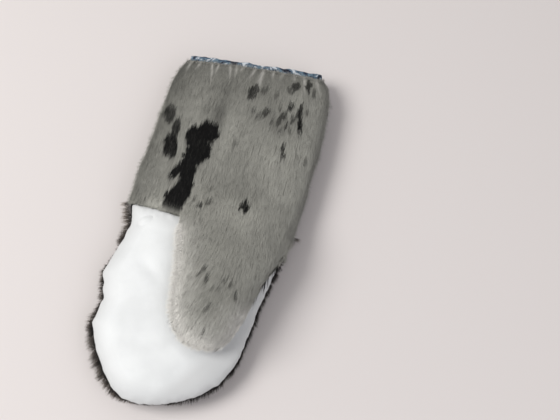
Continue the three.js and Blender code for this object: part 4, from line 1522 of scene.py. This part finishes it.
# %% Heart, petal lines and stamens
HEART_LONG, HEART_WIDE = 8.4, 6.2  # half sizes, mm
HEART_STITCHES = 84
STAMENS = [-22, -12, -2, 8, 152, 162, 172, 184, -38]  # turns of the short brown stitches, degrees

heart_turns = np.arange(HEART_STITCHES) * 2 * math.pi / HEART_STITCHES
heart_rim = np.column_stack([HEART_WIDE * np.cos(heart_turns), HEART_LONG * np.sin(heart_turns)])
heart = stitches("heart_stitches", heart_rim * 0.42, heart_rim, THREAD_Z, (0.30, 0.62), 231)
finish_piece(heart, navy_floss, "navy_floss", "flower_heart")
core = stitches("core_stitches", heart_rim * 0.05, heart_rim * 0.46, THREAD_Z - 0.05, (0.08, 0.32), 232)
finish_piece(core, blue_floss, "blue_floss")

# Two lines run out between each two petals, and three veins run up each petal
line_turns = np.radians(np.repeat([60 * i for i in range(6)], 2) + np.tile([-0.8, 0.8], 6))
vein_turns = np.radians(np.concatenate([[turn - 13, turn + 3, turn + 14] for turn in PETAL_TURNS]))
line_starts = np.concatenate([polar(11.0, line_turns), polar(13.0, vein_turns)])
line_ends = np.concatenate([polar(23.5, line_turns), polar(np.tile([19.5, 21.0, 18.5], 6), vein_turns)])
outlines = stitches("petal_outlines", line_starts, line_ends, LINE_Z, (0.42, 0.42), 233)
finish_piece(outlines, navy_floss, "navy_floss")

stamen_turns = np.radians(STAMENS)
stamens = stitches("stamen_stitches", polar(28.2, stamen_turns), polar(33.2, stamen_turns), THREAD_Z,
                   (0.75, 0.75), 234)
finish_piece(stamens, brown_floss, "navy_floss")  # the record has one slot for dark floss

# %% [markdown]
# ## Beaded edge
# Seed beads are sewn one after another round the felt, two navy ones to each white one. A bead is a
# short thick-walled ring with its hole along the thread. Equal steps along the oval keep the beads in
# touch, so the places come from the oval's measured length and not from equal turns.

# %% Beaded edge
BEAD_COUNT = 198
BEAD_PATH = (57.5, 38.0)  # half sizes of the ring that the beads are threaded on, mm
BEAD_Z = 1.3  # height of the thread over the table, mm
BEAD_RING, BEAD_THICK = 0.63, 0.42  # radius of a bead's ring and of the glass round it, mm
BEAD_STRETCH = 1.35  # a bead is this much longer than a round ring
BEAD_AROUND, BEAD_TUBE = 12, 6  # points round the hole and round the glass


def bead_turns(chosen):
    """Turns round the oval of the chosen beads, evenly along its edge."""
    dense = np.linspace(0, 2 * math.pi, 4001)
    long, wide = BEAD_PATH
    step = np.hypot(wide * np.sin(dense), long * np.cos(dense))
    length = np.concatenate([[0], np.cumsum((step[1:] + step[:-1]) / 2)])
    return np.interp(chosen / BEAD_COUNT * length[-1], length, dense)


def bead_faces():
    """Triangles of one ring of glass."""
    faces = []
    for i in range(BEAD_AROUND):
        for j in range(BEAD_TUBE):
            on, k = (i + 1) % BEAD_AROUND, (j + 1) % BEAD_TUBE
            a, b, c, d = (row * BEAD_TUBE + column for row, column in ((i, j), (i, k), (on, k), (on, j)))
            faces += [(a, c, d), (a, b, c)]
    return np.array(faces)


def beads(name, chosen, proud, material, *nodes):
    """Ring-shaped beads threaded along the oval, `proud` mm outside its line."""
    turn = bead_turns(chosen)
    long, wide = BEAD_PATH
    outward = unit(np.column_stack([long * np.cos(turn), wide * np.sin(turn)]))
    middle = np.column_stack([wide * np.cos(turn), long * np.sin(turn)]) + outward * proud
    middle += np.random.default_rng(241).normal(0, 0.07, middle.shape)
    tangent = np.column_stack([-outward[:, 1], outward[:, 0]])
    around, tube = (grid.ravel() for grid in np.meshgrid(
        np.arange(BEAD_AROUND) * 2 * math.pi / BEAD_AROUND, np.arange(BEAD_TUBE) * 2 * math.pi / BEAD_TUBE,
        indexing="ij",
    ))
    radius = BEAD_RING + BEAD_THICK * np.cos(tube)
    lengthwise = BEAD_THICK * BEAD_STRETCH * np.sin(tube)
    plan = (middle[:, None] + outward[:, None] * (radius * np.cos(around))[None, :, None]
            + tangent[:, None] * lengthwise[None, :, None])
    points = on_medallion(plan[:, :, 0], plan[:, :, 1], BEAD_Z + radius * np.sin(around))
    first = np.arange(len(chosen)) * BEAD_AROUND * BEAD_TUBE
    triangles = bead_faces()[None] + first[:, None, None]
    piece = mesh_piece(name, points.reshape(-1, 3), triangles.reshape(-1, 3))
    flat_map(piece)
    finish_piece(piece, material, "glass_beads", *nodes)


every = np.arange(BEAD_COUNT)
beads("navy_beads", every[every % 3 != 0], 0.0, navy_glass, "bead_edging")
beads("white_beads", every[every % 3 == 0], 0.25, white_glass)

# %% [markdown]
# ## Table and light
# The mitten lies in a white studio: a pale matt table, a white surround, one large soft lamp at the front
# left, high on the little-finger side, and a weak one across from it. It is brightest on that side of
# the palm, and the shadow falls softly to the thumb side. A large lamp gives soft edges to the shadows.

# %% Table
TABLE_HALF = 6.0  # metres, so that its edge stays out of every view


def pale_table(tree):
    """A painted board: pale and matt, so that it takes soft shadows and mirrors nothing."""
    return add_node(tree, "ShaderNodeBsdfPrincipled", {"Base Color": linear("#d6d1cf"), "Roughness": 0.7})


corners = np.array([(-1, -1, 0), (1, -1, 0), (1, 1, 0), (-1, 1, 0)]) * TABLE_HALF / MM
table = mesh_piece("table", corners, np.array([(0, 1, 2), (0, 2, 3)]))
table.data.materials.append(new_material("pale_table", pale_table))
print("table half width, m:", TABLE_HALF)

# %% Lamps and surround
def soft_lamp(name, place, wide, power, colour):
    """A round lamp, `wide` metres across, that shines on the mitten."""
    light = bpy.data.lights.new(name, "AREA")
    light.shape = "DISK"
    light.size = wide
    light.energy = power
    light.color = linear(colour)[:3]
    lamp = add_object(name, light)
    lamp.location = place
    lamp.rotation_mode = "QUATERNION"
    lamp.rotation_quaternion = Vector(place).to_track_quat("Z", "Y")


soft_lamp("key", (-1.35, -0.35, 1.6), 1.3, 37.5, "#fffdfb")
soft_lamp("fill", (1.1, -0.8, 1.3), 1.6, 6.5, "#f4f5ff")

world = bpy.data.worlds.new("studio")
world.use_nodes = True
world.node_tree.nodes.clear()
backdrop = add_node(world.node_tree, "ShaderNodeBackground", {"Color": linear("#f4f1f1"), "Strength": 0.50})
add_node(world.node_tree, "ShaderNodeOutputWorld", {"Surface": backdrop.outputs["Background"]})
bpy.context.scene.world = world
bpy.context.scene.view_settings.view_transform = "Standard"
